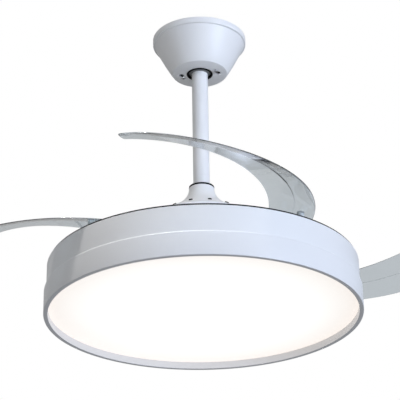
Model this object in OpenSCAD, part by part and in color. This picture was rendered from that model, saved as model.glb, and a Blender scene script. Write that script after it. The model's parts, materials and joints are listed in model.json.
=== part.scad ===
// Retractable-blade ceiling fan with a round lamp.
// Millimetres, +Z up, origin on the ceiling plane at the centre of the bracket.
// The lamp side is laid out in heights above the lamp's lower rim, which hangs "drop" below the ceiling.

/* [Hanging] */
// Drop from the ceiling to the lower rim of the lamp
drop = 500; // [470:5:900]
// Length of the ceiling bracket's plate
bracket_l = 110; // [100:1:130]
// Width of the ceiling bracket's plate
bracket_w = 40; // [34:1:50]
// Sheet thickness of the ceiling bracket
bracket_t = 2.5; // [2:0.5:4]
// Distance between the two ceiling screw holes
bracket_pitch = 80; // [76:1:86]
// Diameter of the ceiling screw holes
bracket_hole_d = 5.5; // [4.5:0.5:7]
// Diameter of the cable hole in the bracket
cable_hole_d = 24; // [16:1:30]
// Diameter of the hanger ball
ball_d = 52; // [48:1:54]
// Depth of the ball's centre below the ceiling
ball_depth = 44; // [42:1:46]
// Running gap between the ball and its seat
seat_gap = 0.3; // [0.2:0.05:0.5]
// Wall of the ball seat at the ball's equator
seat_wall = 4.2; // [3:0.1:6]
// Outer diameter of the downrod
rod_d = 26.7; // [24:0.1:28]
// Wall of the downrod
rod_wall = 2; // [1.5:0.5:3]
// Diameter of the ball's cross pin
ball_pin_d = 6; // [5:0.5:8]

/* [Canopy] */
// Outer diameter of the canopy
canopy_d = 156; // [148:1:170]
// Depth of the canopy's flat bottom below the ball's centre
canopy_below = 21; // [19:0.5:28]
// Height of the canopy
canopy_h = ball_depth + canopy_below;
// Height of the canopy's straight band at the ceiling
canopy_band = 10; // [6:1:14]
// Diameter of the canopy's flat bottom
canopy_plate_d = 92; // [84:1:100]
// Sheet thickness of the canopy
canopy_t = 1.2; // [0.8:0.1:2]
// Diameter of the canopy's centre hole
canopy_hole_d = 41; // [40:0.5:44]
// Radius on which the two canopy screws stand
canopy_screw_r = 29.5; // [29:0.5:33]
// Bearing of the canopy screws from the front
canopy_screw_az = 68; // [50:1:80]

/* [Lamp drum] */
// Outer diameter of the shade ring
ring_d = 500; // [480:2:520]
// Height of the shade ring
ring_h = 38.5; // [36:0.5:44]
// Sheet thickness of the shade ring
ring_t = 1.5; // [1:0.1:2]
// Width of the shade ring's flat lower rim
ring_rim_w = 6.8; // [5.5:0.1:9]
// Depth of the diffuser inside the rim
diffuser_recess = 12; // [8:0.5:14]
// Thickness of the diffuser
diffuser_t = 2.5; // [2:0.1:4]
// Step in radius from the shade ring to the upper shell
shell_step = 3.7; // [3:0.1:5]
// Visible height of the upper shell above the shade ring
shell_band = 41.5; // [38:0.5:48]
// Sheet thickness of the upper shell
shell_t = 0.8; // [0.6:0.1:1.6]
// Depth of the shell's deck below its top edge
deck_recess = 14.8; // [14:0.1:18]
// Height of the black edge trim above the shell's top edge
trim_rise = 3; // [1:0.1:3.5]
// How far the edge trim leans inward from the shell's wall
trim_lean = 2; // [0:0.1:4]
// Twist that unlocks the shade ring
shade_twist = 12; // [10:1:15]

/* [Motor and cover] */
// Diameter of the fixed motor shaft
shaft_d = 17; // [15:0.5:18]
// Diameter of the cable bore in the shaft
shaft_bore_d = 10; // [8:0.5:12]
// Outer diameter of the motor housing
motor_d = 140; // [130:1:144]
// Height of the motor housing
motor_h = 67; // [66:1:72]
// Wall of the motor housing
motor_wall = 4; // [3:0.5:5]
// Outer diameter of the motor bearings
bearing_od = 40; // [38:1:42]
// Width of the motor bearings
bearing_w = 12; // [10:1:13]
// Height of the stator core
core_h = 22; // [18:1:24]
// Air gap between stator and magnets
air_gap = 1; // [0.8:0.1:1.5]
// Outer diameter of the motor cover's foot
cover_d = 170; // [168:1:180]
// Outer diameter of the motor cover's neck
cover_neck_d = 41; // [38:0.5:44]
// Height of the motor cover's top above the lamp's rim
cover_top = 222; // [218:1:235]
// Sheet thickness of the motor cover
cover_t = 1.4; // [1:0.1:2]
// Thickness of the gasket on the motor cover's neck
gasket_t = 3; // [1:0.5:5]
// Diameter of the vent holes in the motor cover
vent_d = 4.6; // [2:0.2:6]
// Number of vent holes
vent_n = 12; // [6:1:16]

/* [Blades] */
// Radius of the blade pivots from the fan's axis
pivot_r = 150; // [149.5:0.1:151]
// Bearing of the first pivot from the front
pivot_az = 44; // [30:1:60]
// Thickness of a blade along its crease
blade_t = 3; // [2:0.1:4]
// Thickness of a blade at its edges
blade_edge_t = 1.2; // [0.8:0.1:2]
// Height of the crease above the blade's plane, where it is highest
blade_crease = 3; // [0:0.5:5]
// Angle through which the blades fold
fold_angle = 80; // [70:1:82]
// Diameter of the pivot posts
post_d = 10; // [8:0.5:12]
// Thickness of the blade arms
arm_t = 3.5; // [3:0.1:4.5]
// Width of the blade arms
arm_w = 20; // [18:1:24]
// Gap between the shell's edge trim and the arms
arm_gap = 1; // [0.8:0.1:4]

/* [Carrier and gears] */
// Diameter of the turning blade carrier
carrier_d = 450; // [440:2:460]
// Thickness of the blade carrier
carrier_t = 2.5; // [2:0.1:3]
// Gap between the shell's deck and the carrier
carrier_gap = 4.8; // [4.4:0.1:5.5]
// Gear module
gear_m = 2.5;
// Number of teeth on a blade's hub
hub_teeth = 16;
// Number of teeth that the sync ring would have all round
ring_teeth = 104;
// Pressure angle
pressure_angle = 25; // [20:1:25]
// Play between the teeth
backlash = 0.3; // [0.2:0.05:0.5]
// Thickness of the gears
gear_t = 4; // [3:0.1:4.5]
// Inner diameter of the sync ring
sync_bore_d = 200; // [196:1:210]

/* [Lamp inside] */
// Height of the LED tray above the diffuser
led_gap = 29.5; // [28:0.5:34]
// Thickness of the LED tray
tray_t = 1.5; // [1:0.1:2]
// Diameter of the LED tray
tray_d = 464; // [440:2:470]
// Thickness of the LED boards
board_t = 1.2; // [0.8:0.1:1.6]
// Width of the LED boards
board_w = 12; // [8:1:14]
// Length of the LED driver
driver_l = 130; // [110:1:150]
// Width of the LED driver
driver_w = 44; // [36:1:50]
// Length of the remote receiver
receiver_l = 84; // [70:1:100]
// Width of the remote receiver
receiver_w = 32; // [26:1:40]

/* [Hidden] */
$fn = 96;

// Clearances
fit = 0.05;        // a pin or shaft in its hole
thread = 0.05;     // a screw in its threaded hole
seat = 0.3;        // soft or loose neighbours, and pieces of different bodies

// Radii
ball_r = ball_d/2;
rod_r = rod_d/2;
canopy_r = canopy_d/2;
ring_r = ring_d/2;
shell_r = ring_r - shell_step;
shell_in = shell_r - shell_t;
rim_in = ring_r - ring_rim_w;
ring_in = ring_r - ring_t;
shaft_r = shaft_d/2;
motor_r = motor_d/2;
motor_in = motor_r - motor_wall;
bearing_r = bearing_od/2;
carrier_r = carrier_d/2;
post_r = post_d/2;
cover_r = cover_d/2;
neck_r = cover_neck_d/2;
sync_in = sync_bore_d/2;

// Heights above the lamp's lower rim
diffuser_top = diffuser_recess + diffuser_t;
tray_h = diffuser_top + led_gap;
tray_top = tray_h + tray_t;
shell_top = ring_h + shell_band;
deck_top = shell_top - deck_recess;
deck_h = deck_top - shell_t;
carrier_h = deck_top + carrier_gap;
carrier_top = carrier_h + carrier_t;
gear_lift = 0.4;
gear_h = carrier_top + gear_lift;
gear_top = gear_h + gear_t;
arm_h = shell_top + trim_rise + arm_gap;
arm_top = arm_h + arm_t;
motor_top = carrier_top + motor_h;
split_h = carrier_top + motor_h/2;
bearing_lo_h = carrier_top + motor_wall;
bearing_hi_h = motor_top - motor_wall - bearing_w;
core_mid = (bearing_lo_h + bearing_hi_h + bearing_w)/2;

// Shaft, coupling and rod
shaft_top = motor_top + 28.5;
coupling_r = 22;
coupling_neck_r = 17;
coupling_h = shaft_top - 10;
socket_h = shaft_top + 4;
coupling_shoulder = socket_h + 28;
coupling_top = coupling_shoulder + 6;
bolt_r = 3;
set_screw_r = 2.5;
set_screw_h = shaft_top - 5;
bolt_h = socket_h + 14;
rod_top_z = -ball_depth + 22;

// Lamp fixing under the deck
flange_r = 45;
flange_t = 3;
flange_h = deck_h - flange_t;
nut_af = 24;
nut_t = 10;
nut_h = flange_h - nut_t;
collar_r = shaft_r + 2.5;
bay_h = deck_h - tray_top;

// Screws: shank radius, head radius, head height
m3 = [1.5, 2.8, 2];
m4 = [2, 3.7, 2.3];

// Motor details
flange_reach = 8;
housing_flange_t = 4;
housing_screw_r = motor_r + 4;
magnet_in = motor_in - 7;
core_r = magnet_in - air_gap;
tooth_n = 12;
tooth_w = 7;
carrier_screw_r = 45;
flange_screw_r = 36;
shaft_hole_r = collar_r + 2;

// Blade shape, seen from above, in millimetres from the first blade's pivot
blade_spine = [[4, 29], [119, -192], [-108, -315], [-192, -299]];
// Height of the blade above the shell's top edge along the spine
blade_lift = [16, 24, 36, 38];
// Chord along the spine
blade_chord = [62, 75, 109, 29];
// Pitch along the spine
blade_pitch = [3, 34, 13];
// Each arm's setting on its hub, as the four blades stand in the photograph
blade_set = [-4.4, 2.6, 0, 1.8];
blade_n = 4;
blade_from = 0.1;       // where the blade begins on the spine
foot_r = 5.5;           // radius of the moulded feet under its root
pad_at = 0.13;          // middle of the pad on the arm
tip_round_from = 0.993; // where the raked tip's corners begin to round off
blade_stations = 34;
chord_steps = 6;
crease_at = 0.05;       // place of the crease across the chord
pad_l = 34;             // length of the arm's pad along the blade
pad_share = 0.36;       // half-width of the arm's pad as a share of the chord
blade_screw_spots = [[0.113, 0], [0.148, 0.2], [0.131, -0.2]];
blade_screw_grip = 4.5;

pivot = pivot_r*[sin(pivot_az), -cos(pivot_az)];
pivot_out = pivot_az - 90;

// Hub, spring and bumpers
boss_r = 12;
hub_pitch_r = gear_m*hub_teeth/2;
spring_wire_r = 0.6;
spring_r = boss_r + 2.5;
spring_turns = 3;
anchor_r = 2;
anchor_reach = 28;
anchor_turn = 100;
bumper_r = 4.5;
bumper_pin_r = 2.5;
bumper_tail_r = 2;
bumper_reach = 42;
guide_r = 5;
guide_head_r = 9;

// --- helpers ---------------------------------------------------------------

function bez3(p, t) = let(u = 1 - t) u*u*u*p[0] + 3*u*u*t*p[1] + 3*u*t*t*p[2] + t*t*t*p[3];
function bez3_slope(p, t) =
    let(u = 1 - t) 3*u*u*(p[1] - p[0]) + 6*u*t*(p[2] - p[1]) + 3*t*t*(p[3] - p[2]);
function bez2(p, t) = let(u = 1 - t) u*u*p[0] + 2*u*t*p[1] + t*t*p[2];
function curve(p, n) = [for (i = [0:n]) bez3(p, i/n)];
function shifted(pts, d) = [for (p = pts) p + d];
function reversed(pts) = [for (i = [len(pts) - 1:-1:0]) pts[i]];
function arc(c, r, a0, a1, n = 6) = [for (i = [0:n]) let(a = a0 + (a1 - a0)*i/n) c + r*[cos(a), sin(a)]];
function polar(r, a) = r*[cos(a), sin(a)];

// Lifts its children to a height above the lamp's lower rim
module at_h(h) { translate([0, 0, h - drop]) children(); }

// A flat ring
module ring(r_out, r_in, t) {
    difference() {
        cylinder(r = r_out, h = t);
        translate([0, 0, -1]) cylinder(r = r_in, h = t + 2);
    }
}

// Copies its children to n places on a circle
module around(n, r, start = 0) {
    for (i = [0:n - 1]) rotate(start + 360*i/n) translate([r, 0, 0]) children();
}

// A screw with its head's underside at z = 0, the shank going up
module screw_up(s, grip) {
    cylinder(r = s[0], h = grip);
    translate([0, 0, -s[2]]) difference() {
        cylinder(r = s[1], h = s[2]);
        translate([-s[1], -0.4, -1]) cube([2*s[1], 0.8, 1.8]);
        translate([-0.4, -s[1], -1]) cube([0.8, 2*s[1], 1.8]);
    }
}

// A screw with its head's underside at z = 0, the shank going down
module screw_down(s, grip) { mirror([0, 0, 1]) screw_up(s, grip); }

// A closed skin over a list of rings of points
module loft(rings) {
    n = len(rings[0]);
    m = len(rings);
    polyhedron(
        points = [for (r = rings) for (p = r) p],
        faces = concat(
            [[for (j = [0:n - 1]) j]],
            [for (i = [0:m - 2]) for (j = [0:n - 1])
                [i*n + j, (i + 1)*n + j, (i + 1)*n + (j + 1) % n, i*n + (j + 1) % n]],
            [[for (j = [n - 1:-1:0]) (m - 1)*n + j]]
        ),
        convexity = 6
    );
}

// --- on the ceiling --------------------------------------------------------

seat_r = ball_r + seat_gap;
seat_out = seat_r + seat_wall;
seat_low = 14;
strap_w = 30;
strap_t = bracket_t;
screw_boss = [6.5, 8];      // radius and height of the bosses for the canopy screws
throat_r = 22;              // opening below the ball

module ceiling_bracket() color("silver") {
    difference() {
        union() {
            translate([-bracket_l/2, -bracket_w/2, -bracket_t]) cube([bracket_l, bracket_w, bracket_t]);
            for (s = [-1, 1]) translate([s*(seat_out - strap_t/2) - strap_t/2, -strap_w/2, -ball_depth - seat_low])
                cube([strap_t, strap_w, ball_depth + seat_low - bracket_t/2]);
            translate([0, 0, -ball_depth - seat_low]) cylinder(r = seat_out, h = seat_low + 2);
            for (a = [0, 180]) translate(concat(canopy_screw_at(a), -ball_depth - seat_low))
                cylinder(r = screw_boss[0], h = screw_boss[1]);
        }
        translate([0, 0, -ball_depth]) sphere(r = seat_r);
        translate([0, 0, -ball_depth - seat_low - 1]) cylinder(r = throat_r, h = 3);
        translate([-rod_r - 1.5, 0, -ball_depth - seat_low - 1]) cube([2*rod_r + 3, seat_out + 5, seat_low + 4]);
        for (x = [-1, 1]) translate([x*bracket_pitch/2, 0, -bracket_t - 1])
            cylinder(d = bracket_hole_d, h = bracket_t + 2);
        translate([0, 0, -bracket_t - 1]) cylinder(d = cable_hole_d, h = bracket_t + 2);
        for (a = [0, 180]) translate(concat(canopy_screw_at(a), -ball_depth - seat_low - 1))
            cylinder(r = m4[0] + thread, h = screw_boss[1] + 2);
    }
}

function canopy_screw_at(turn) = polar(canopy_screw_r, canopy_screw_az - 90 + turn);

module terminal_block() color("white") {
    block = [13, 26, 15];
    translate([seat_out, -block[1]/2, -ball_depth + 10]) difference() {
        cube(block);
        for (i = [0:2]) translate([block[0]/2, 5 + 8*i, block[2] - 5]) cylinder(d = 4, h = 6);
        for (i = [0:2]) translate([-1, 5 + 8*i, 5]) rotate([0, 90, 0]) cylinder(d = 3.4, h = block[0] + 2);
    }
}

canopy_curve = [
    [canopy_r - 1.5, -canopy_band - 1], [0.87*canopy_r, -0.38*canopy_h],
    [0.69*canopy_r, -0.83*canopy_h], [canopy_plate_d/2, -canopy_h + 1],
];

module canopy() color("white") {
    hole_r = canopy_hole_d/2;
    plate_r = canopy_plate_d/2 - 1;
    outer = curve(canopy_curve, 12);
    key_turn = 12;
    difference() {
        rotate_extrude() polygon(concat(
            [[canopy_r, 0], [canopy_r, -canopy_band]], outer,
            [[plate_r, -canopy_h], [hole_r, -canopy_h], [hole_r, canopy_t - canopy_h],
             [plate_r - canopy_t/2, canopy_t - canopy_h]],
            reversed(shifted(outer, [-canopy_t, canopy_t/2])),
            [[canopy_r - canopy_t, -canopy_band + canopy_t/2], [canopy_r - canopy_t, 0]]
        ));
        for (a = [0, 180]) rotate(canopy_screw_az - 90 + a) translate([canopy_screw_r, 0, -canopy_h - 1]) {
            translate([0, -2.3, 0]) cylinder(r = m4[0] + 0.3, h = 4);
            translate([-m4[0] - 0.3, -2.3, 0]) cube([2*m4[0] + 0.6, key_turn - 3, 4]);
            translate([0, key_turn - 4, 0]) cylinder(r = m4[1] + 0.5, h = 4);
            cylinder(r = m4[0] + 0.3, h = 4);
        }
    }
}

module canopy_grommet() color("black") {
    hole_r = canopy_hole_d/2;
    lip = 1.2;
    translate([0, 0, -canopy_h]) rotate_extrude() polygon([
        [hole_r - 2, -lip], [hole_r + lip, -lip], [hole_r + lip, 0], [hole_r, 0], [hole_r, canopy_t],
        [hole_r + lip, canopy_t], [hole_r + lip, canopy_t + lip], [hole_r - 2, canopy_t + lip],
    ]);
}

module canopy_screws() color("silver") {
    grip = canopy_h - ball_depth - seat_low + 6;
    for (a = [0, 180]) translate(concat(canopy_screw_at(a), -canopy_h)) screw_up(m4, grip);
}

// --- ball, rod and coupling ------------------------------------------------

module hanger_ball() color("dimgray") {
    translate([0, 0, -ball_depth]) difference() {
        sphere(r = ball_r);
        translate([0, 0, -ball_r - 1]) cylinder(r = rod_r + fit, h = 2*ball_r + 2);
        rotate([0, 90, 0]) cylinder(d = ball_pin_d + 2*fit, h = 2*ball_r + 2, center = true);
    }
}

module ball_pin() color("silver") {
    pin_l = 2*sqrt(pow(ball_r, 2) - pow(ball_pin_d/2, 2)) - 1;
    translate([0, 0, -ball_depth]) rotate([0, 90, 0]) cylinder(d = ball_pin_d, h = pin_l, center = true);
}

module downrod() color("white") {
    low_z = socket_h - drop;
    difference() {
        translate([0, 0, low_z]) cylinder(r = rod_r, h = rod_top_z - low_z);
        translate([0, 0, low_z - 1]) cylinder(r = rod_r - rod_wall, h = rod_top_z - low_z + 2);
        translate([0, 0, -ball_depth]) rotate([0, 90, 0])
            cylinder(d = ball_pin_d + 2*fit, h = 2*rod_d, center = true);
        at_h(bolt_h) rotate([0, 90, 0]) cylinder(r = bolt_r + fit, h = 2*rod_d, center = true);
    }
}

module rod_coupling() color("silver") at_h(0) difference() {
    union() {
        translate([0, 0, coupling_h]) cylinder(r = coupling_r, h = coupling_shoulder - coupling_h);
        translate([0, 0, coupling_shoulder]) cylinder(r = coupling_neck_r, h = coupling_top - coupling_shoulder);
    }
    translate([0, 0, socket_h]) cylinder(r = rod_r + fit, h = coupling_top);
    translate([0, 0, coupling_h - 1]) cylinder(r = shaft_r + fit, h = shaft_top - coupling_h + 1);
    translate([0, 0, coupling_h]) cylinder(d = shaft_bore_d, h = coupling_top);
    translate([0, 0, bolt_h]) rotate([0, 90, 0]) cylinder(r = bolt_r + fit, h = 3*coupling_r, center = true);
    for (s = [0, 180]) rotate(s) translate([0, 0, set_screw_h]) rotate([-90, 0, 0])
        cylinder(r = set_screw_r + thread, h = coupling_r + 1);
}

hex_r = 5.6;
bolt_head_t = 4;
coupling_nut_t = 5;
module coupling_bolt() color("silver") at_h(bolt_h) rotate([0, 90, 0]) {
    translate([0, 0, -coupling_r]) cylinder(r = bolt_r, h = 2*coupling_r + coupling_nut_t + 2);
    translate([0, 0, -coupling_r - bolt_head_t]) cylinder(r = hex_r, h = bolt_head_t, $fn = 6);
}

module coupling_nut() color("silver") at_h(bolt_h) rotate([0, 90, 0]) translate([0, 0, coupling_r])
    difference() {
        cylinder(r = hex_r, h = coupling_nut_t, $fn = 6);
        translate([0, 0, -1]) cylinder(r = bolt_r + thread, h = coupling_nut_t + 2);
    }

module coupling_set_screws() color("dimgray") for (s = [0, 180]) rotate(s)
    at_h(set_screw_h) rotate([-90, 0, 0]) translate([0, 0, shaft_r + fit]) difference() {
        cylinder(r = set_screw_r, h = coupling_r - shaft_r - 1);
        translate([0, 0, coupling_r - shaft_r - 4]) cylinder(d = 2.6, h = 4, $fn = 6);
    }

// --- motor cover -----------------------------------------------------------

cover_foot = motor_top + 0.5;
cover_skirt = 21;    // height of the cover's skirt
cover_pull = 29;     // how far the neck runs down before it flares
cover_flare = [25, 16]; // the flare's last pull: inward from the foot, and above the skirt
cover_curve = [
    [neck_r, cover_top], [neck_r, cover_top - cover_pull],
    [cover_r - cover_flare[0], cover_foot + cover_skirt + cover_flare[1]], [cover_r, cover_foot + cover_skirt],
];
vent_at = 0.68;       // place of the vents down the flare
vent_start = -107.45; // bearing of the first vent

module motor_cover() color("white") at_h(0) {
    outer = curve(cover_curve, 20);
    inner = shifted(outer, [-cover_t, -0.8*cover_t]);
    vent = bez3(cover_curve, vent_at);
    fall = bez3_slope(cover_curve, vent_at);
    vent_tilt = atan2(-fall[1], fall[0]);
    difference() {
        union() {
            rotate_extrude() polygon(concat(
                [[rod_r + 1, cover_top]], outer, [[cover_r, cover_foot], [cover_r - cover_t, cover_foot]],
                reversed(inner), [[rod_r + 1, cover_top - 0.8*cover_t]]
            ));
            translate([0, 0, coupling_shoulder]) ring(web_reach, coupling_neck_r + 2*fit, cover_t);
        }
        for (i = [0:vent_n - 1]) rotate(vent_start + 360*i/vent_n) translate([vent[0], 0, vent[1]])
            rotate([0, vent_tilt, 0]) cylinder(d = vent_d, h = 12, center = true);
    }
}
// The web reaches from the coupling's shoulder into the cover's wall
web_top = coupling_shoulder + cover_t;
web_reach = lookup(web_top, [for (p = curve(cover_curve, 20)) [p[1], p[0]]]) - cover_t/2;

module cover_gasket() color("black") at_h(cover_top) ring(neck_r, rod_r + fit, gasket_t);

// --- shaft and motor -------------------------------------------------------

module motor_shaft() color("silver") at_h(0) {
    low = nut_h - 4;
    groove = bearing_lo_h - 1.6;
    difference() {
        union() {
            translate([0, 0, low]) cylinder(r = shaft_r, h = shaft_top - low);
            translate([0, 0, deck_top]) cylinder(r = collar_r, h = carrier_gap - 1);
        }
        translate([0, 0, low - 1]) cylinder(d = shaft_bore_d, h = shaft_top - low + 2);
        translate([0, 0, groove]) ring(shaft_r + 1, shaft_r - 0.5, 1.3);
    }
}

module shaft_circlip() color("dimgray") at_h(bearing_lo_h - 1.55) difference() {
    ring(shaft_r + 2.2, shaft_r - 0.45, 1.2);
    translate([0, -2, -1]) cube([shaft_r + 4, 4, 4]);
}

module bearing(h) {
    groove_in = shaft_r + 4.5;
    groove_out = bearing_r - 3.5;
    at_h(h) difference() {
        ring(bearing_r, shaft_r + fit, bearing_w);
        translate([0, 0, -0.1]) ring(groove_out, groove_in, 0.9);
        translate([0, 0, bearing_w - 0.8]) ring(groove_out, groove_in, 0.9);
    }
}
module bearing_lower() color("silver") bearing(bearing_lo_h);
module bearing_upper() color("silver") bearing(bearing_hi_h);

module stator_core() color("dimgray") at_h(core_mid - core_h/2) linear_extrude(core_h) difference() {
    union() {
        circle(r = 20);
        for (i = [0:tooth_n - 1]) rotate(360*i/tooth_n) {
            translate([15, -tooth_w/2]) square([core_r - 19, tooth_w]);
            intersection() {
                difference() {
                    circle(r = core_r);
                    circle(r = core_r - 4);
                }
                polygon([[0, 0], polar(2*core_r, -12.5), polar(2*core_r, 12.5)]);
            }
        }
    }
    circle(r = shaft_r + fit);
}

module stator_coils() color("chocolate") {
    coil_from = 27;
    coil_to = core_r - 5;
    coil_w = 12;
    coil_h = core_h + 6;
    for (i = [0:tooth_n - 1]) rotate(360*i/tooth_n) at_h(core_mid) difference() {
        translate([coil_from, -coil_w/2, -coil_h/2]) cube([coil_to - coil_from, coil_w, coil_h]);
        translate([coil_from - 1, -tooth_w/2 - fit, -core_h/2 - fit])
            cube([coil_to, tooth_w + 2*fit, core_h + 2*fit]);
    }
}

module magnet_ring() color("dimgray") at_h(core_mid - core_h/2 - 2)
    ring(motor_in - fit, magnet_in, core_h + 4);

// One half of the motor housing, standing on its closed end at z = 0
module housing_half(h, hole_r) {
    boss_in = bearing_r + fit;
    difference() {
        union() {
            cylinder(r = motor_r, h = motor_wall);
            ring(motor_r, motor_in, h);
            cylinder(r = bearing_r + motor_wall, h = motor_wall + bearing_w);
            translate([0, 0, h - housing_flange_t]) ring(motor_r + flange_reach, motor_in, housing_flange_t);
        }
        translate([0, 0, motor_wall]) cylinder(r = boss_in, h = bearing_w + 1);
        translate([0, 0, -1]) cylinder(r = hole_r, h = motor_wall + 2);
        around(6, housing_screw_r, 30) translate([0, 0, h - housing_flange_t - 1])
            cylinder(r = m3[0] + thread, h = housing_flange_t + 2);
    }
}

module housing_base() color("silver") at_h(carrier_top) difference() {
    housing_half(motor_h/2, shaft_hole_r);
    around(4, carrier_screw_r, 45) translate([0, 0, -1]) cylinder(r = m4[0] + thread, h = motor_wall + 2);
}

module housing_top() color("silver") at_h(motor_top) mirror([0, 0, 1]) housing_half(motor_h/2, shaft_hole_r);

module housing_screws() color("silver") at_h(split_h + housing_flange_t)
    around(6, housing_screw_r, 30) screw_down(m3, 2*housing_flange_t);

// --- blade carrier ---------------------------------------------------------

// Places its children at blade i's pivot, in the first blade's directions
module at_pivot(i) { rotate(-360*i/blade_n) translate(pivot) children(); }

// The same, turned by the blade's setting on its hub
module at_blade(i) { at_pivot(i) rotate(blade_set[i]) children(); }

arm_to = bez3(blade_spine, pad_at);
arm_len = norm(arm_to);
arm_dir = atan2(arm_to[1], arm_to[0]);

// Each open arm leans on a bumper, given from its pivot
open_stop = polar(bumper_reach, arm_dir) + polar(arm_w/2 + seat + bumper_r, arm_dir + 90);
bumper_top = arm_top + 0.5;

// With the blades folded, each toothed stretch of the sync ring ends at a bumper
ring_turn = fold_angle*hub_teeth/ring_teeth;
sector_pad = 2.5;
ring_stop_r = root_r(ring_teeth) + bumper_r + 0.6;
ring_stop_turn = ring_turn + (sector_pad - 0.5)*360/ring_teeth + 90/ring_teeth
    + asin((bumper_r + seat)/ring_stop_r);
guide_at = sync_in - guide_r - fit - 0.1;
guide_turn = 45;    // the ring guides stand midway between the pivots

module blade_carrier() color("white") at_h(carrier_h) difference() {
    union() {
        cylinder(r = carrier_r, h = carrier_t);
        ring(carrier_r, carrier_r - carrier_t, 2.2*carrier_t);
    }
    translate([0, 0, -1]) cylinder(r = shaft_hole_r, h = carrier_t + 2);
    around(4, carrier_screw_r, 45) translate([0, 0, -1]) cylinder(r = m4[0] + fit, h = carrier_t + 2);
    around(16, carrier_r - 17, 11.25) translate([0, 0, -1]) cylinder(r = 8, h = carrier_t + 2);
    around(blade_n, guide_at, pivot_out + guide_turn) translate([0, 0, -1]) cylinder(r = 2.5 + fit, h = carrier_t + 2);
    for (i = [0:blade_n - 1]) at_pivot(i) {
        translate([0, 0, -1]) cylinder(r = 4 + fit, h = carrier_t + 2);
        translate(polar(anchor_reach, pivot_out + anchor_turn)) translate([0, 0, -1])
            cylinder(r = 1.5 + fit, h = carrier_t + 2);
    }
    for (i = [0:blade_n - 1]) at_blade(i) translate(open_stop)
        translate([0, 0, -1]) cylinder(r = bumper_tail_r + fit, h = carrier_t + 2);
    around(blade_n, ring_stop_r, pivot_out + ring_stop_turn) translate([0, 0, -1])
        cylinder(r = bumper_tail_r + fit, h = carrier_t + 2);
}

module carrier_screws() color("silver") at_h(carrier_h)
    around(4, carrier_screw_r, 45) screw_up(m4, carrier_t + motor_wall - 0.5);

circlip_h = arm_top + seat;
circlip_t = 1.2;

// A shouldered pin riveted in the carrier
module carrier_pin(tail_r, r, top) {
    at_h(carrier_h) cylinder(r = tail_r, h = carrier_t + 0.1);
    at_h(carrier_top) cylinder(r = r, h = top - carrier_top);
}

module pivot_posts() color("silver") for (i = [0:blade_n - 1]) at_pivot(i) difference() {
    carrier_pin(4, post_r, circlip_h + circlip_t + 1.2);
    at_h(circlip_h) ring(post_r + 1, post_r - 0.6, circlip_t);
}

module post_circlips() color("dimgray") for (i = [0:blade_n - 1]) at_pivot(i) at_h(circlip_h + fit) difference() {
    ring(post_r + 3, post_r - 0.6 + fit, circlip_t - 2*fit);
    rotate(pivot_out) translate([0, -2, -1]) cube([post_r + 5, 4, 4]);
}

module spring_anchor_pins() color("silver") for (i = [0:blade_n - 1]) at_pivot(i)
    translate(polar(anchor_reach, pivot_out + anchor_turn)) carrier_pin(1.5, anchor_r, arm_h - 3);

// The return spring: a helix round the hub's boss, then a straight leg to the anchor pin
spring_low = gear_top + 0.5 + spring_wire_r;
spring_pitch = (arm_h - gear_top - 1 - 2*spring_wire_r)/spring_turns;
spring_steps = 16;
leg_side = anchor_r + spring_wire_r + 0.1;
leg_from_turn = anchor_turn - acos((spring_r + leg_side)/anchor_reach);
leg_l = sqrt(pow(anchor_reach, 2) - pow(spring_r + leg_side, 2)) + 4;
spring_line = concat(
    [concat(polar(spring_r, leg_from_turn) + polar(leg_l, leg_from_turn + 90), spring_low)],
    [for (k = [0:spring_turns*spring_steps]) let(a = leg_from_turn - 360*k/spring_steps)
        concat(polar(spring_r, a), spring_low + spring_pitch*k/spring_steps)]
);
wire_sides = 6;
function unit(v) = v/norm(v);
function wire_ring(line, k) =
    let(a = line[max(k - 1, 0)], b = line[min(k + 1, len(line) - 1)], t = unit(b - a),
        side = unit(cross(t, [0, 0, 1])), up = cross(side, t))
    [for (j = [0:wire_sides - 1]) line[k] + spring_wire_r*(cos(360*j/wire_sides)*side + sin(360*j/wire_sides)*up)];

module return_springs() color("gray") for (i = [0:blade_n - 1]) at_pivot(i) rotate(pivot_out) at_h(0)
    loft([for (k = [0:len(spring_line) - 1]) wire_ring(spring_line, k)]);

module stop_bumpers() color("black") {
    for (i = [0:blade_n - 1]) at_blade(i) translate(open_stop) {
        carrier_pin(bumper_tail_r, bumper_pin_r, bumper_top);
        at_h(arm_h - 3) cylinder(r = bumper_r, h = bumper_top - arm_h + 3);
    }
    around(blade_n, ring_stop_r, pivot_out + ring_stop_turn) carrier_pin(bumper_tail_r, bumper_r, gear_top + 1);
}

module ring_guides() color("silver") around(blade_n, guide_at, pivot_out + guide_turn) {
    carrier_pin(2.5, guide_r, gear_top + 0.4);
    at_h(gear_top + 0.4) cylinder(r = guide_head_r, h = 1.8);
}

// --- gears -----------------------------------------------------------------

function involute_turn(rb, r) = r <= rb ? 0 : let(a = acos(rb/r)) tan(a)*180/PI - a;

// One tooth, centred on +X, of a gear with n teeth
function tooth(n) =
    let(rp = gear_m*n/2, rb = rp*cos(pressure_angle), ra = rp + gear_m, rf = rp - 1.25*gear_m,
        half = 90/n - 45*backlash/(PI*rp), base = half + involute_turn(rb, rp), r0 = max(rb, rf),
        flank = concat([rf - 0.8], rb > rf ? [rf] : [], [for (j = [0:4]) r0 + (ra - r0)*j/4]))
    concat([for (r = flank) polar(r, -(base - involute_turn(rb, r)))],
           reversed([for (r = flank) polar(r, base - involute_turn(rb, r))]));

function root_r(n) = gear_m*(n/2 - 1.25);

module sync_ring() color("silver") at_h(gear_h) linear_extrude(gear_t) difference() {
    union() {
        circle(r = root_r(ring_teeth));
        for (i = [0:blade_n - 1]) rotate(pivot_out + 360*i/blade_n)
            for (k = [-ceil(ring_turn*ring_teeth/360) - sector_pad + 0.5:sector_pad - 0.5])
                rotate(360*k/ring_teeth) polygon(tooth(ring_teeth));
    }
    circle(r = sync_in);
}

// --- blades ----------------------------------------------------------------

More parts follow.
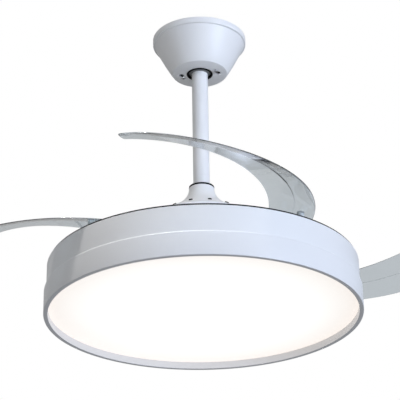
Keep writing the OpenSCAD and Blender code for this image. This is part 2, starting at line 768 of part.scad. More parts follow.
function pad_spot(t, s) = let(d = unit(bez3_slope(blade_spine, t)))
    bez3(blade_spine, t) + [-d[1], d[0]]*s*bez3(blade_chord, t);

module blade_arm(i) color("silver") {
    pad_dir = let(d = bez3_slope(blade_spine, pad_at)) atan2(d[1], d[0]);
    pad = [pad_l, 2*pad_share*bez3(blade_chord, pad_at)];
    difference() {
        union() {
            at_pivot(i) at_h(gear_h) rotate(pivot_out + 180 + 180/hub_teeth) linear_extrude(gear_t) {
                circle(r = root_r(hub_teeth));
                for (k = [0:hub_teeth - 1]) rotate(360*k/hub_teeth) polygon(tooth(hub_teeth));
            }
            at_pivot(i) at_h(gear_h + gear_t/2) cylinder(r = boss_r, h = arm_h - gear_h - gear_t/2 + arm_t/2);
            at_blade(i) at_h(arm_h) linear_extrude(arm_t) {
                circle(r = boss_r + 2);
                rotate(arm_dir) translate([0, -arm_w/2]) square([arm_len, arm_w]);
                translate(arm_to) rotate(pad_dir) square(pad, center = true);
            }
        }
        at_pivot(i) at_h(gear_h - 1) cylinder(r = post_r + fit, h = arm_top - gear_h + 2);
        for (s = blade_screw_spots) at_blade(i) translate(pad_spot(s[0], s[1])) at_h(arm_h - 1)
            cylinder(r = m4[0] + fit, h = arm_t + 2);
    }
}

// A point of the blade: t along the spine, s across the chord, side -1 below and +1 above
function crease_share(s) = s > crease_at ? (0.5 - s)/(0.5 - crease_at) : (s + 0.5)/(crease_at + 0.5);
function tip_share(t) = t < tip_round_from ? 1 :
    0.85 + 0.15*sqrt(1 - pow((t - tip_round_from)/(1 - tip_round_from), 2));
function crease_rise(t) = blade_crease*(1 - pow(t, 4));
function blade_point(t, s, side) =
    let(d = unit(bez3_slope(blade_spine, t)), chord = bez3(blade_chord, t)*tip_share(t),
        pitch = bez2(blade_pitch, t), k = crease_share(s), reach = s*chord,
        p = bez3(blade_spine, t) + [-d[1], d[0]]*reach*cos(pitch))
    [p[0], p[1], shell_top + bez3(blade_lift, t) - reach*sin(pitch) + crease_rise(t)*k
        + side*(blade_edge_t + (blade_t - blade_edge_t)*k)/2];

chord_spots = [for (j = [0:chord_steps]) -0.5 + j/chord_steps];
function blade_ring(t) = concat(
    [for (s = chord_spots) blade_point(t, s, -1)],
    reversed([for (s = chord_spots) blade_point(t, s, 1)])
);
// Stations crowd towards the tip, where the outline rounds off
function station(i) = let(x = i/blade_stations) blade_from + (1 - blade_from)*sin(90*x)*(0.45 + 0.55*x);

// Height of the blade's middle surface above the lamp's lower rim
function blade_mid_h(t, s) = blade_point(t, s, 0)[2];

module blade(i) color("lightgray", 0.5) at_blade(i) at_h(0) difference() {
    union() {
        loft([for (k = [0:blade_stations]) blade_ring(station(k))]);
        for (s = blade_screw_spots) translate(concat(pad_spot(s[0], s[1]), arm_top))
            cylinder(r = foot_r, h = blade_mid_h(s[0], s[1]) - arm_top);
    }
    for (s = blade_screw_spots) translate(concat(pad_spot(s[0], s[1]), arm_top - 1))
        cylinder(r = m4[0] + fit, h = blade_screw_grip + 1.2);
}

module blade_screws(i) color("silver") at_blade(i) for (s = blade_screw_spots)
    translate(pad_spot(s[0], s[1])) at_h(arm_h) screw_up(m4, arm_t + blade_screw_grip);

module blade_1() blade(0);
module blade_2() blade(1);
module blade_3() blade(2);
module blade_4() blade(3);
module blade_arm_1() blade_arm(0);
module blade_arm_2() blade_arm(1);
module blade_arm_3() blade_arm(2);
module blade_arm_4() blade_arm(3);
module blade_screws_1() blade_screws(0);
module blade_screws_2() blade_screws(1);
module blade_screws_3() blade_screws(2);
module blade_screws_4() blade_screws(3);

// --- lamp ------------------------------------------------------------------

shell_low = diffuser_top + 6;
bayonet_h = (shell_low + ring_h)/2 - 2;
bayonet_r = 2;
bayonet_n = 4;
bayonet_head = 1.5;
bayonet_reach = ring_in - 0.3;

module upper_shell() color("white") at_h(0) difference() {
    rotate_extrude() {
        translate([shell_in, shell_low]) square([shell_t, shell_top - shell_low]);
        translate([shaft_r + fit, deck_h]) square([shell_in + shell_t/2 - shaft_r - fit, shell_t]);
    }
    around(4, flange_screw_r, 0) translate([0, 0, deck_h - 1]) cylinder(r = m4[0] + fit, h = shell_t + 2);
    around(bayonet_n, 0, 45) translate([shell_in - 1, 0, bayonet_h]) rotate([0, 90, 0])
        cylinder(r = bayonet_r + fit, h = shell_t + 2);
}

// The trim is bonded inside the shell's edge and leans inward above it
trim_grip = 3;
trim_t = 1.4;
module shell_edge_trim() color("black") at_h(shell_top) rotate_extrude() polygon([
    [shell_in, -trim_grip], [shell_in, -0.2], [shell_in - trim_lean, trim_rise],
    [shell_in - trim_lean - 1, trim_rise], [shell_in - trim_t, -0.5], [shell_in - trim_t, -trim_grip],
]);

module bayonet_pins() color("silver") around(bayonet_n, 0, 45) at_h(bayonet_h) rotate([0, 90, 0]) {
    translate([0, 0, shell_in - fit - bayonet_head]) {
        cylinder(r = bayonet_r + 1.5, h = bayonet_head);
        cylinder(r = bayonet_r, h = bayonet_head + fit + bayonet_reach - shell_in);
    }
}

module lamp_flange() color("silver") at_h(flange_h) difference() {
    ring(flange_r, shaft_r + fit, flange_t);
    around(4, flange_screw_r, 0) translate([0, 0, -1]) cylinder(r = m4[0] + thread, h = flange_t + 2);
}

module flange_screws() color("silver") at_h(flange_h)
    around(4, flange_screw_r, 0) screw_up(m4, flange_t + shell_t + 1.2);

module shaft_nut() color("silver") at_h(nut_h) difference() {
    cylinder(d = nut_af/cos(30), h = nut_t, $fn = 6);
    translate([0, 0, -1]) cylinder(r = shaft_r + thread, h = nut_t + 2);
}

standoff_at = 120;
standoff_r = 5;
standoff_start = 22.5;

module led_tray() color("white") at_h(tray_h) difference() {
    cylinder(d = tray_d, h = tray_t);
    around(4, standoff_at, standoff_start) translate([0, 0, -1]) cylinder(r = m4[0] + fit, h = tray_t + 2);
}

module tray_standoffs() color("silver") around(4, standoff_at, standoff_start) at_h(tray_top)
    ring(standoff_r, m4[0] + thread, bay_h);

module tray_screws() color("silver") around(4, standoff_at, standoff_start) at_h(tray_h) screw_up(m4, tray_t + 8);

board_radii = [45, 92, 146, 200];
chips_per_board = [8, 16, 24, 32];

module led_boards() color("white") at_h(tray_h - board_t)
    for (r = board_radii) ring(r + board_w/2, r - board_w/2, board_t);

module led_chips() color("yellow") at_h(tray_h - board_t - 0.8)
    for (k = [0:len(board_radii) - 1]) around(chips_per_board[k], board_radii[k])
        translate([-1.75, -1.75, 0]) cube([3.5, 3.5, 0.8]);

box_h = bay_h - 4;
box_at = flange_r + 13;
module led_driver() color("white") translate([-driver_l/2, box_at, 0]) at_h(tray_top) difference() {
    cube([driver_l, driver_w, box_h]);
    for (x = [8, driver_l - 8]) translate([x, -1, box_h - 3]) cube([2, driver_w + 2, 4]);
}

module remote_receiver() color("white") translate([-receiver_l/2, -box_at - receiver_w, 0]) at_h(tray_top)
    difference() {
        cube([receiver_l, receiver_w, box_h - 2]);
        translate([8, 8, box_h - 3]) cylinder(d = 4, h = 4);
    }

// --- shade -----------------------------------------------------------------

lug_gap = 0.3;
lug_h = bayonet_h + bayonet_r + lug_gap;
lug_in = shell_r + 0.4;
roll_r = 3;

module shade_ring() color("white") at_h(0) {
    rotate_extrude() polygon(concat(
        [[rim_in, 0], [ring_r, 0]],
        arc([ring_r - roll_r, ring_h - roll_r], roll_r, 0, 90),
        [[shell_r + 0.5, ring_h], [shell_r + 0.5, ring_h - ring_t], [ring_r - roll_r, ring_h - ring_t]],
        reversed(arc([ring_r - roll_r, ring_h - roll_r], roll_r - ring_t, 0, 90)),
        [[ring_in, ring_t], [rim_in + ring_t, ring_t], [rim_in + ring_t, diffuser_recess],
         [rim_in, diffuser_recess]]
    ));
    // Four ledges hang on the bayonet pins, each closed at one end
    for (i = [0:bayonet_n - 1]) rotate(45 + 360*i/bayonet_n) {
        translate([0, 0, lug_h]) rotate(-shade_twist + 1.5) rotate_extrude(angle = shade_twist)
            translate([lug_in, 0]) square([ring_in - lug_in + ring_t/2, 1.6]);
        translate([0, 0, lug_h - 5]) rotate(0.75) rotate_extrude(angle = 0.9)
            translate([lug_in + 0.1, 0]) square([ring_in - lug_in + ring_t/3, 6.2]);
    }
}

module diffuser() color("ivory") at_h(diffuser_recess) cylinder(r = ring_in - 2, h = diffuser_t);

// --- drawing ---------------------------------------------------------------

ceiling_bracket();
terminal_block();
canopy();
canopy_grommet();
canopy_screws();
hanger_ball();
ball_pin();
downrod();
rod_coupling();
coupling_bolt();
coupling_nut();
coupling_set_screws();
motor_cover();
cover_gasket();
motor_shaft();
shaft_circlip();
stator_core();
stator_coils();
upper_shell();
shell_edge_trim();
bayonet_pins();
lamp_flange();
flange_screws();
shaft_nut();
led_tray();
tray_standoffs();
tray_screws();
led_boards();
led_chips();
led_driver();
remote_receiver();
housing_base();
housing_top();
housing_screws();
magnet_ring();
bearing_lower();
bearing_upper();
blade_carrier();
carrier_screws();
pivot_posts();
post_circlips();
spring_anchor_pins();
return_springs();
stop_bumpers();
ring_guides();
sync_ring();
blade_1();
blade_2();
blade_3();
blade_4();
blade_arm_1();
blade_arm_2();
blade_arm_3();
blade_arm_4();
blade_screws_1();
blade_screws_2();
blade_screws_3();
blade_screws_4();
shade_ring();
diffuser();
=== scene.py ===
"""A ceiling fan with four clear folding blades over a round lamp: an add-on that dresses the packed model."""

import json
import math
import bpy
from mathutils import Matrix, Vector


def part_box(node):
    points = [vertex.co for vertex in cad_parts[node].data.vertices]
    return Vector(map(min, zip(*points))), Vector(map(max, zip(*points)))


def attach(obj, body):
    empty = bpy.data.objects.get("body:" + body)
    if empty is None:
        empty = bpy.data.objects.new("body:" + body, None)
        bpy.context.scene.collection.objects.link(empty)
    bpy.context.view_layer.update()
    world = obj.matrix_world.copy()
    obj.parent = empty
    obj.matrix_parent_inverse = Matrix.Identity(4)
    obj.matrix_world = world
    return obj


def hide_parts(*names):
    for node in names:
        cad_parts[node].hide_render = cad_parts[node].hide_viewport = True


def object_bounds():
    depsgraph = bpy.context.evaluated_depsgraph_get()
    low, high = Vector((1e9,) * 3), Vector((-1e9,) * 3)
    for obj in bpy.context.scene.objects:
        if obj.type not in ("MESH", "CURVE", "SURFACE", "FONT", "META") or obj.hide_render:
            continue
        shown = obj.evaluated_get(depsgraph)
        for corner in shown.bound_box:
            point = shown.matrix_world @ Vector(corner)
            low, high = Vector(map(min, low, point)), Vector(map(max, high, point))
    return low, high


bl_info = {
    "name": "Folding Blade Ceiling Fan",
    "version": (1, 0, 0),
    "blender": (4, 5, 0),
    "location": "3D View > Sidebar > Ceiling Fan",
    "description": "Models the painted shells, clear blades and fittings of a ceiling fan with a lamp",
    "category": "Add Mesh",
}

import bpy
from mathutils import Matrix, Vector

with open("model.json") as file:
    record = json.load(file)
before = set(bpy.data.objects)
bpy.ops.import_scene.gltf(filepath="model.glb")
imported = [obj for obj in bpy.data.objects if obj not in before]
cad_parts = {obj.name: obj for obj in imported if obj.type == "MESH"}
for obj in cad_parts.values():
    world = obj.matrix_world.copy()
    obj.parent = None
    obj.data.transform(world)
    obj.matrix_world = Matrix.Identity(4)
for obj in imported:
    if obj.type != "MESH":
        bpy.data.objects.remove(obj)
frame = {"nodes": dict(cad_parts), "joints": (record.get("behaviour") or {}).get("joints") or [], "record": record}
FRAME_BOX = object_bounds()

SLOT_OF = {row["node"]: row["material_slot"] for row in frame["record"]["subparts"]}
BODY_OF = {node: body for body, nodes in frame["record"]["behaviour"]["bodies"].items() for node in nodes}
PIVOTS = [Vector(joint["pos_m"]) for joint in frame["joints"]
          if joint["name"].startswith("blade_") and joint["name"].endswith("_fold")]
BLADES = len(PIVOTS)


def low(node):
    """Lowest corner of a node of the frame."""
    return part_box(node)[0]


def high(node):
    """Highest corner of a node of the frame."""
    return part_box(node)[1]


def extent(node):
    """Radius, bottom and top of a round node on the fan's axis."""
    return high(node).x, low(node).z, high(node).z


RIM = low("shade_ring").z
FINISHES = {}


def length(name, description, default, **more):
    """A length that a user may set, in metres."""
    return bpy.props.FloatProperty(
        name=name, description=description, default=default, precision=4, unit="LENGTH", **more)


def angle(name, description, default):
    """An angle that a user may set, in radians."""
    return bpy.props.FloatProperty(name=name, description=description, default=default, subtype="ANGLE")


def along(name, description, default):
    """Values that a user may set along a blade's line, or for each blade."""
    return bpy.props.FloatVectorProperty(
        name=name, description=description, default=default, size=len(default), precision=4)


def colour(name, description, default):
    """A colour that a user may set."""
    return bpy.props.FloatVectorProperty(
        name=name, description=description, default=default, size=3, subtype="COLOR", min=0, max=1)


# --- what can be set ---------------------------------------------------------

class CanopySettings(bpy.types.PropertyGroup):
    """Sizes of the canopy on the ceiling."""

    band: length("Band", "Height of the straight band at the ceiling", 0.010)
    sheet: length("Sheet", "Thickness of the canopy's sheet", 0.0012)
    plate: length("Plate", "Radius of the flat bottom", 0.046)
    hole: length("Hole", "Radius of the hole for the rod", 0.0205)
    screw_circle: length("Screw circle", "Radius on which the two screws stand", 0.0295)
    screw_bearing: angle("Screw bearing", "Bearing of the first screw from the front", math.radians(68))


class CoverSettings(bpy.types.PropertyGroup):
    """Sizes of the flared motor cover."""

    sheet: length("Sheet", "Thickness of the cover's sheet", 0.0014)
    neck: length("Neck", "Outer radius of the neck", 0.0205)
    skirt: length("Skirt", "Height of the straight skirt at the foot", 0.021)
    vents: bpy.props.IntProperty(name="Vents", description="Number of vent holes", default=12, min=2)
    vent_radius: length("Vent radius", "Radius of a vent hole", 0.0023)
    vent_bearing: angle("Vent bearing", "Bearing of the first vent", math.radians(-107.45))


class DrumSettings(bpy.types.PropertyGroup):
    """Sizes of the lamp drum."""

    ring_sheet: length("Ring sheet", "Thickness of the shade ring", 0.0015)
    ring_rim: length("Rim", "Width of the shade ring's flat lower rim", 0.0068)
    ring_roll: length("Roll", "Radius of the shade ring's rolled top edge", 0.003)
    shell_sheet: length("Shell sheet", "Thickness of the upper shell", 0.0008)
    deck_recess: length("Deck recess", "Depth of the deck below the shell's top edge", 0.0148)
    trim_lean: length("Trim lean", "How far the edge trim leans inward", 0.001)
    twist: angle("Twist", "Turn that frees the shade ring", math.radians(12))


class BladeSettings(bpy.types.PropertyGroup):
    """Shape of one blade, from its pivot and above the shell's top edge."""

    spine_x: along("Spine X", "Control points of the blade's line across", (0.004, 0.119, -0.108, -0.192))
    spine_y: along("Spine Y", "Control points of the blade's line outwards", (0.029, -0.192, -0.315, -0.299))
    lift: along("Lift", "Height along the line", (0.016, 0.024, 0.036, 0.038))
    chord: along("Chord", "Width along the line", (0.062, 0.075, 0.109, 0.029))
    pitch: along("Pitch", "Pitch along the line, in degrees", (3, 34, 13))
    setting: along("Setting", "Each blade's setting on its hub, in degrees", (-4.4, 2.6, 0.0, 1.8))
    start: bpy.props.FloatProperty(
        name="Start", description="Where the blade begins on its line", default=0.1)
    crease: length("Crease", "Height of the crease above the blade's plane", 0.003)
    crease_at: bpy.props.FloatProperty(
        name="Crease place", description="Place of the crease across the chord", default=0.05)
    bead: length("Bead", "Height of the moulded bead along the crease", 0.0007)
    thick: length("Thick", "Thickness along the crease", 0.003)
    thin: length("Thin", "Thickness at the edges", 0.0012)
    foot: length("Foot", "Radius of the moulded feet", 0.0055)


class PaintSettings(bpy.types.PropertyGroup):
    """Colours of the finishes."""

    enamel: colour("Enamel", "White powder coat of the shells", (0.86, 0.87, 0.89))
    plate: colour("Plate", "White coat of the inner plates", (0.82, 0.83, 0.84))
    rubber: colour("Rubber", "Seals, edge trim and bumpers", (0.012, 0.012, 0.014))
    blade: colour("Blade", "Smoke tint of the clear blades", (0.50, 0.54, 0.57))
    glow: colour("Glow", "Light of the diffuser at its middle", (1.0, 1.0, 0.985))
    glow_edge: colour("Glow edge", "Light of the diffuser at its rim", (0.80, 0.72, 0.66))


class StudioSettings(bpy.types.PropertyGroup):
    """Camera and light."""

    camera: bpy.props.FloatVectorProperty(
        name="Camera", description="Place of the camera", size=3, default=(0.0, -2.4126, -1.42635),
        subtype="XYZ", precision=4)
    aim: bpy.props.FloatVectorProperty(
        name="Aim", description="Pitch, turn and roll of the camera", size=3,
        default=(0.4376, -0.0012, math.radians(-0.9)), subtype="EULER")
    lens: bpy.props.FloatProperty(name="Lens", description="Focal length in millimetres", default=148.4)
    ambient: bpy.props.FloatProperty(name="Ambient", description="Level of the light all round", default=0.39)
    key: bpy.props.FloatProperty(name="Key", description="Power of the main lamp in watts", default=60)
    floor: length("Floor", "Height of the floor, below the ceiling", -2.6)


# --- modelling ---------------------------------------------------------------

def deselect():
    """Leaves edit mode with nothing selected."""
    if bpy.context.object is not None and bpy.context.object.mode != "OBJECT":
        bpy.ops.object.mode_set(mode="OBJECT")
    bpy.ops.object.select_all(action="DESELECT")


def pick(piece):
    """Makes the piece the one selected object."""
    deselect()
    piece.select_set(True)
    bpy.context.view_layer.objects.active = piece


def towards(there, here, amount):
    """The point that lies an amount from here towards there."""
    return here + (there - here).normalized() * amount


def rounded(corners, facets=4):
    """An outline of corners (radius, height, fillet), with each fillet as a short curve."""
    outline = []
    places = [Vector(corner[:2]) for corner in corners]
    for i, corner in enumerate(corners):
        here, before, after = places[i], places[i - 1], places[(i + 1) % len(places)]
        if len(corner) < 3:
            outline.append(here)
            continue
        start, end = towards(before, here, corner[2]), towards(after, here, corner[2])
        for k in range(facets + 1):
            outline.append(bezier([start, here, end], k / facets))
    return outline


def bezier(points, t):
    """A point of the curve that the control points pull."""
    points = list(points)
    while len(points) > 1:
        points = [a + (b - a) * t for a, b in zip(points, points[1:])]
    return points[0]


def curved(points, steps):
    """The curve of the control points, as a list of places."""
    points = [Vector(point) for point in points]
    return [bezier(points, k / steps) for k in range(steps + 1)]


def select_all():
    """Selects all of the mesh in edit mode."""
    bpy.ops.mesh.select_all(action="SELECT")


def turned(name, outline, steps=192, sweep=math.tau, start=0.0):
    """A body of revolution: a vertex is extruded along the closed outline, and the loop is spun."""
    same_place = 1e-6
    deselect()
    bpy.ops.mesh.primitive_plane_add(size=0.01)
    piece = bpy.context.object
    piece.name = name
    piece.data.name = name
    bpy.ops.object.mode_set(mode="EDIT")
    select_all()
    bpy.ops.mesh.merge(type="CENTER")
    turn = Matrix.Rotation(start, 3, "Z")
    path = [turn @ Vector((point[0], 0, point[1])) for point in [*outline, outline[0]]]
    bpy.ops.transform.translate(value=path[0])
    for here, there in zip(path, path[1:]):
        if (there - here).length > 0.1 * same_place:
            bpy.ops.mesh.extrude_region_move(TRANSFORM_OT_translate={"value": there - here})
    select_all()
    bpy.ops.mesh.remove_doubles(threshold=same_place)
    bpy.ops.mesh.spin(steps=steps, angle=sweep, center=(0, 0, 0), axis=(0, 0, 1))
    select_all()
    bpy.ops.mesh.remove_doubles(threshold=same_place)
    if sweep < math.tau:
        bpy.ops.mesh.fill_holes(sides=0)
        select_all()
    bpy.ops.mesh.normals_make_consistent(inside=False)
    bpy.ops.object.mode_set(mode="OBJECT")
    return piece


def smooth(piece, crease=35):
    """Smooth shading, with each edge past the crease angle (in degrees) kept sharp."""
    pick(piece)
    bpy.ops.object.shade_smooth_by_angle(angle=math.radians(crease))
    return piece


def put(piece, matrix):
    """Moves a piece's mesh, and leaves the object at the origin."""
    piece.data.transform(matrix)
    piece.data.update()
    return piece


def copied(piece, matrix):
    """A copy of the piece with its own mesh, in another place."""
    twin = piece.copy()
    twin.data = piece.data.copy()
    bpy.context.scene.collection.objects.link(twin)
    return put(twin, matrix)


def joined(pieces):
    """Several meshes as one piece, named as the first."""
    deselect()
    for piece in pieces:
        piece.select_set(True)
    bpy.context.view_layer.objects.active = pieces[0]
    bpy.ops.object.join()
    return pieces[0]


def combined(piece, other, operation):
    """The piece with another cut out of it or added to it."""
    pick(piece)
    modifier = piece.modifiers.new("combine", "BOOLEAN")
    modifier.operation = operation
    modifier.object = other
    modifier.solver = "EXACT"
    bpy.ops.object.modifier_apply(modifier=modifier.name)
    bpy.data.objects.remove(other)
    return piece


def around(piece, count, start):
    """Copies of the piece at equal turns about the fan's axis, joined. The piece itself goes."""
    turns = [Matrix.Rotation(start + math.tau * i / count, 4, "Z") for i in range(count)]
    copies = [copied(piece, turn) for turn in turns]
    bpy.data.objects.remove(piece)
    return joined(copies)


def peg(radius, bottom, top, place=(0, 0)):
    """A round peg that stands at a place."""
    outline = rounded([(0, bottom), (radius, bottom), (radius, top), (0, top)])
    return put(turned("peg", outline, steps=32), Matrix.Translation((*place, 0)))


def block(size, place, turn=0.0):
    """A square block that is turned about its middle."""
    deselect()
    bpy.ops.mesh.primitive_cube_add(size=1, location=place)
    piece = bpy.context.object
    piece.scale = size
    piece.rotation_euler = (0, 0, turn)
    bpy.ops.object.transform_apply(location=True, rotation=True, scale=True)
    return piece


def paint(piece, finish):
    """Gives a piece its finish in place of any other."""
    piece.data.materials.clear()
    piece.data.materials.append(finish)


def fit_out(piece, node):
    """Gives a finished piece its node's finish, and lets it ride in the place of that node."""
    paint(piece, FINISHES[SLOT_OF[node]])
    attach(piece, BODY_OF[node])
    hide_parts(node)


# --- finishes ----------------------------------------------------------------

class Value:
    """A shader's socket that can stand in a sum: each sign adds a Math node."""

    def __init__(self, shader, socket):
        self.shader = shader
        self.socket = socket

    def with_sign(self, operation, first, second):
        """A Math node's result on two values."""
        return self.shader.node("ShaderNodeMath", {"operation": operation}, {0: first, 1: second})

    def __add__(self, other):
        return self.with_sign("ADD", self, other)

    def __radd__(self, other):
        return self.with_sign("ADD", other, self)

    def __mul__(self, other):
        return self.with_sign("MULTIPLY", self, other)

    def __rmul__(self, other):
        return self.with_sign("MULTIPLY", other, self)

    def __truediv__(self, other):
        return self.with_sign("DIVIDE", self, other)

    def __rtruediv__(self, other):
        return self.with_sign("DIVIDE", other, self)

    def __pow__(self, other):
        return self.with_sign("POWER", self, other)

    def __rpow__(self, other):
        return self.with_sign("POWER", other, self)


class Shader:
    """The node tree of a material or of the world."""

    def __init__(self, owner):
        self.owner = owner
        owner.use_nodes = True
        self.tree = owner.node_tree

    def node(self, kind, settings=None, sockets=None, out=0):
        """Adds a node, sets its settings and sockets, and returns one of its outputs."""
        made = self.tree.nodes.new(kind)
        for name, value in (settings or {}).items():
            if name == "stops":
                self.set_stops(made.color_ramp, value)
            else:
                setattr(made, name, value)
        for name, value in (sockets or {}).items():
            self.feed(made.inputs[name], value)
        return Value(self, made.outputs[out])

    def set_stops(self, ramp, stops):
        """Gives a ramp its stops, each a position and a grey level."""
        while len(ramp.elements) < len(stops):
            ramp.elements.new(0.5)
        for element, (position, level) in zip(ramp.elements, stops):
            element.position = position
            element.color = (level, level, level, 1)

    def feed(self, socket, value):
        """Links a value to a socket, or sets the socket to a plain number, colour or vector."""
        if isinstance(value, Value):
            self.tree.links.new(value.socket, socket)
        else:
            socket.default_value = value

    def place(self):
        """Object coordinates."""
        return self.node("ShaderNodeTexCoord", out="Object")

    def noise(self, scale, detail, place=None):
        """Cloudy noise from 0 to 1, of a size given as repeats per metre."""
        return self.node("ShaderNodeTexNoise", sockets={
            "Vector": place or self.place(), "Scale": scale, "Detail": detail, "Roughness": 0.55})

    def ramp(self, value, stops):
        """A value through a colour ramp with these stops."""
        return self.node("ShaderNodeValToRGB", {"stops": stops}, {"Fac": value})

    def mix(self, factor, first, second):
        """A colour between two, by a factor from 0 to 1."""
        return self.node("ShaderNodeMix", {"data_type": "RGBA"}, {
            0: factor, 6: full(first), 7: full(second)}, out=2)

    def stretched(self, scale):
        """Object coordinates, stretched along the axes."""
        return self.node("ShaderNodeMapping", sockets={"Vector": self.place(), "Scale": scale})

    def seen(self):
        """1 where the camera looks, straight or through clear plastic, and 0 elsewhere."""
        straight, through = (self.node("ShaderNodeLightPath", out=name)
                             for name in ("Is Camera Ray", "Is Transmission Ray"))
        return self.node("ShaderNodeMath", {"operation": "MAXIMUM"}, {0: straight, 1: through})


def full(tone):
    """A colour with its alpha, or a link as it is."""
    return tone if isinstance(tone, Value) else (*tone[:3], 1)


class Finish(Shader):
    """A material and its Principled shader."""

    def __init__(self, name):
        super().__init__(bpy.data.materials.new(name))
        self.surface = self.tree.nodes["Principled BSDF"]

    def set(self, **sockets):
        """Sets or links the shader's sockets by their names."""
        for name, value in sockets.items():
            self.feed(self.surface.inputs[name.replace("_", " ").title().replace("Ior", "IOR")], value)

    def relief(self, height, depth):
        """Raises the surface by a height pattern of a depth in metres, and returns the finish."""
        self.feed(self.surface.inputs["Normal"], self.node(
            "ShaderNodeBump", sockets={"Height": height, "Distance": depth, "Strength": 1.0}))
        return self


def shade_of(tone, factor):
    """A darker or lighter tone of a colour."""
    return tuple(min(1.0, part * factor) for part in tone[:3])


def powder_coat(name, tone):
    """White powder coat: orange peel, a breath of dust and a soft sheen."""
    finish = Finish(name)
    cloud = finish.noise(scale=14, detail=4)
    grain = finish.noise(scale=900, detail=2)
    finish.set(base_color=finish.mix(cloud, shade_of(tone, 0.975), shade_of(tone, 1.01)),
               roughness=cloud * 0.10 + 0.27, specular_ior_level=0.45)
    return finish.relief(grain, depth=0.00002).owner


def plate_coat(name, tone):
    """Thin white coat on sheet metal, duller, with rolled streaks under it."""
    finish = Finish(name)
    cloud = finish.noise(scale=24, detail=4)
    streak = finish.noise(scale=1, detail=3, place=finish.stretched((40, 700, 40)))
    finish.set(base_color=finish.mix(cloud, shade_of(tone, 0.95), tone), roughness=streak * 0.12 + 0.36)
    return finish.relief(streak, depth=0.00002).owner


def black_rubber(name, tone):
    """Matt black rubber with a faint bloom."""
    finish = Finish(name)
    bloom = finish.noise(scale=120, detail=5)
    finish.set(base_color=finish.mix(bloom, shade_of(tone, 0.2), shade_of(tone, 0.7)),
               roughness=bloom * 0.2 + 0.68, specular_ior_level=0.1)
    return finish.relief(finish.noise(scale=2400, detail=2), depth=0.00003).owner


def worked_steel(name, tone, rough, streaks, depth=0.00001):
    """Bare or plated steel of a mean roughness, with the fine lines of its working."""
    finish = Finish(name)
    lines = finish.noise(scale=1, detail=4, place=finish.stretched(streaks))
    bloom = finish.noise(scale=60, detail=3)
    finish.set(base_color=finish.mix(bloom, shade_of(tone, 0.86), tone), metallic=1.0,
               roughness=lines * 0.16 + bloom * 0.08 + (rough - 0.12))
    return finish.relief(lines, depth).owner


def cast_aluminium(name, tone):
    """Die-cast aluminium: a grey skin with small pits."""
    finish = Finish(name)
    pits = finish.ramp(finish.noise(scale=700, detail=3), [(0.35, 0.0), (0.55, 1.0)])
    skin = finish.noise(scale=45, detail=5)
    finish.set(base_color=finish.mix(skin, shade_of(tone, 0.82), tone), metallic=1.0,
               roughness=skin * 0.2 + 0.34)
    return finish.relief(pits, depth=0.00006).owner


def moulded(name, tone, rough, grain=1100):
    """Moulded plastic with a fine even texture."""
    finish = Finish(name)
    cloud = finish.noise(scale=30, detail=3)
    finish.set(base_color=finish.mix(cloud, shade_of(tone, 0.94), tone), roughness=cloud * 0.1 + rough)
    return finish.relief(finish.noise(scale=grain, detail=2), depth=0.00002).owner


def stacked_core(name, tone):
    """Stacked sheet laminations: fine level lines down the side."""
    finish = Finish(name)
    sheets = finish.node("ShaderNodeTexWave", {"bands_direction": "Z"}, {
        "Vector": finish.place(), "Scale": 320.0, "Distortion": 0.2})
    finish.set(base_color=finish.mix(sheets, shade_of(tone, 0.6), tone), metallic=1.0,
               roughness=finish.noise(scale=80, detail=3) * 0.2 + 0.38)
    return finish.relief(sheets, depth=0.00008).owner


def wound_copper(name, tone):
    """Enamelled copper wire, wound side by side."""
    finish = Finish(name)
    turns = finish.node("ShaderNodeTexWave", {"bands_direction": "DIAGONAL"}, {
        "Vector": finish.place(), "Scale": 260.0, "Distortion": 0.6})
    finish.set(base_color=finish.mix(turns, shade_of(tone, 0.5), tone), metallic=1.0,
               roughness=finish.noise(scale=200, detail=2) * 0.15 + 0.25)
    return finish.relief(turns, depth=0.00025).owner


def led_phosphor(name, tone):
    """Yellow phosphor in a clear lens."""
    finish = Finish(name)
    cloud = finish.noise(scale=900, detail=3)
    finish.set(base_color=finish.mix(cloud, shade_of(tone, 0.85), tone), roughness=cloud * 0.1 + 0.12,
               coat_weight=0.6)
    return finish.owner


def opal_acrylic(name, tone, middle, edge):
    """The lit diffuser: even at its middle and warmer towards its rim."""
    finish = Finish(name)
    flat = finish.node("ShaderNodeVectorMath", {"operation": "MULTIPLY"}, {0: finish.place(), 1: (1, 1, 0)})
    out = finish.node("ShaderNodeVectorMath", {"operation": "LENGTH"}, {0: flat}, out=1)
    rim, falloff = high("diffuser").x, 5.0
    near = (out / rim) ** falloff
    cloud = finish.noise(scale=18, detail=3)
    finish.set(base_color=finish.mix(cloud, shade_of(tone, 0.5), shade_of(tone, 0.52)),
               roughness=cloud * 0.08 + 0.3, emission_color=finish.mix(near, middle, edge),
               emission_strength=0.92)
    return finish.owner


def clear_blade(name, tone):
    """Smoke-tinted clear plastic with a polished face."""
    finish = Finish(name)
    flow = finish.noise(scale=1, detail=3, place=finish.stretched((16, 16, 60)))
    finish.set(base_color=finish.mix(flow, shade_of(tone, 0.97), shade_of(tone, 1.03)),
               roughness=flow * 0.03 + 0.02, transmission_weight=1.0, ior=1.15, coat_weight=0.7,
               coat_roughness=0.03)
    return finish.relief(flow, depth=0.00005).owner


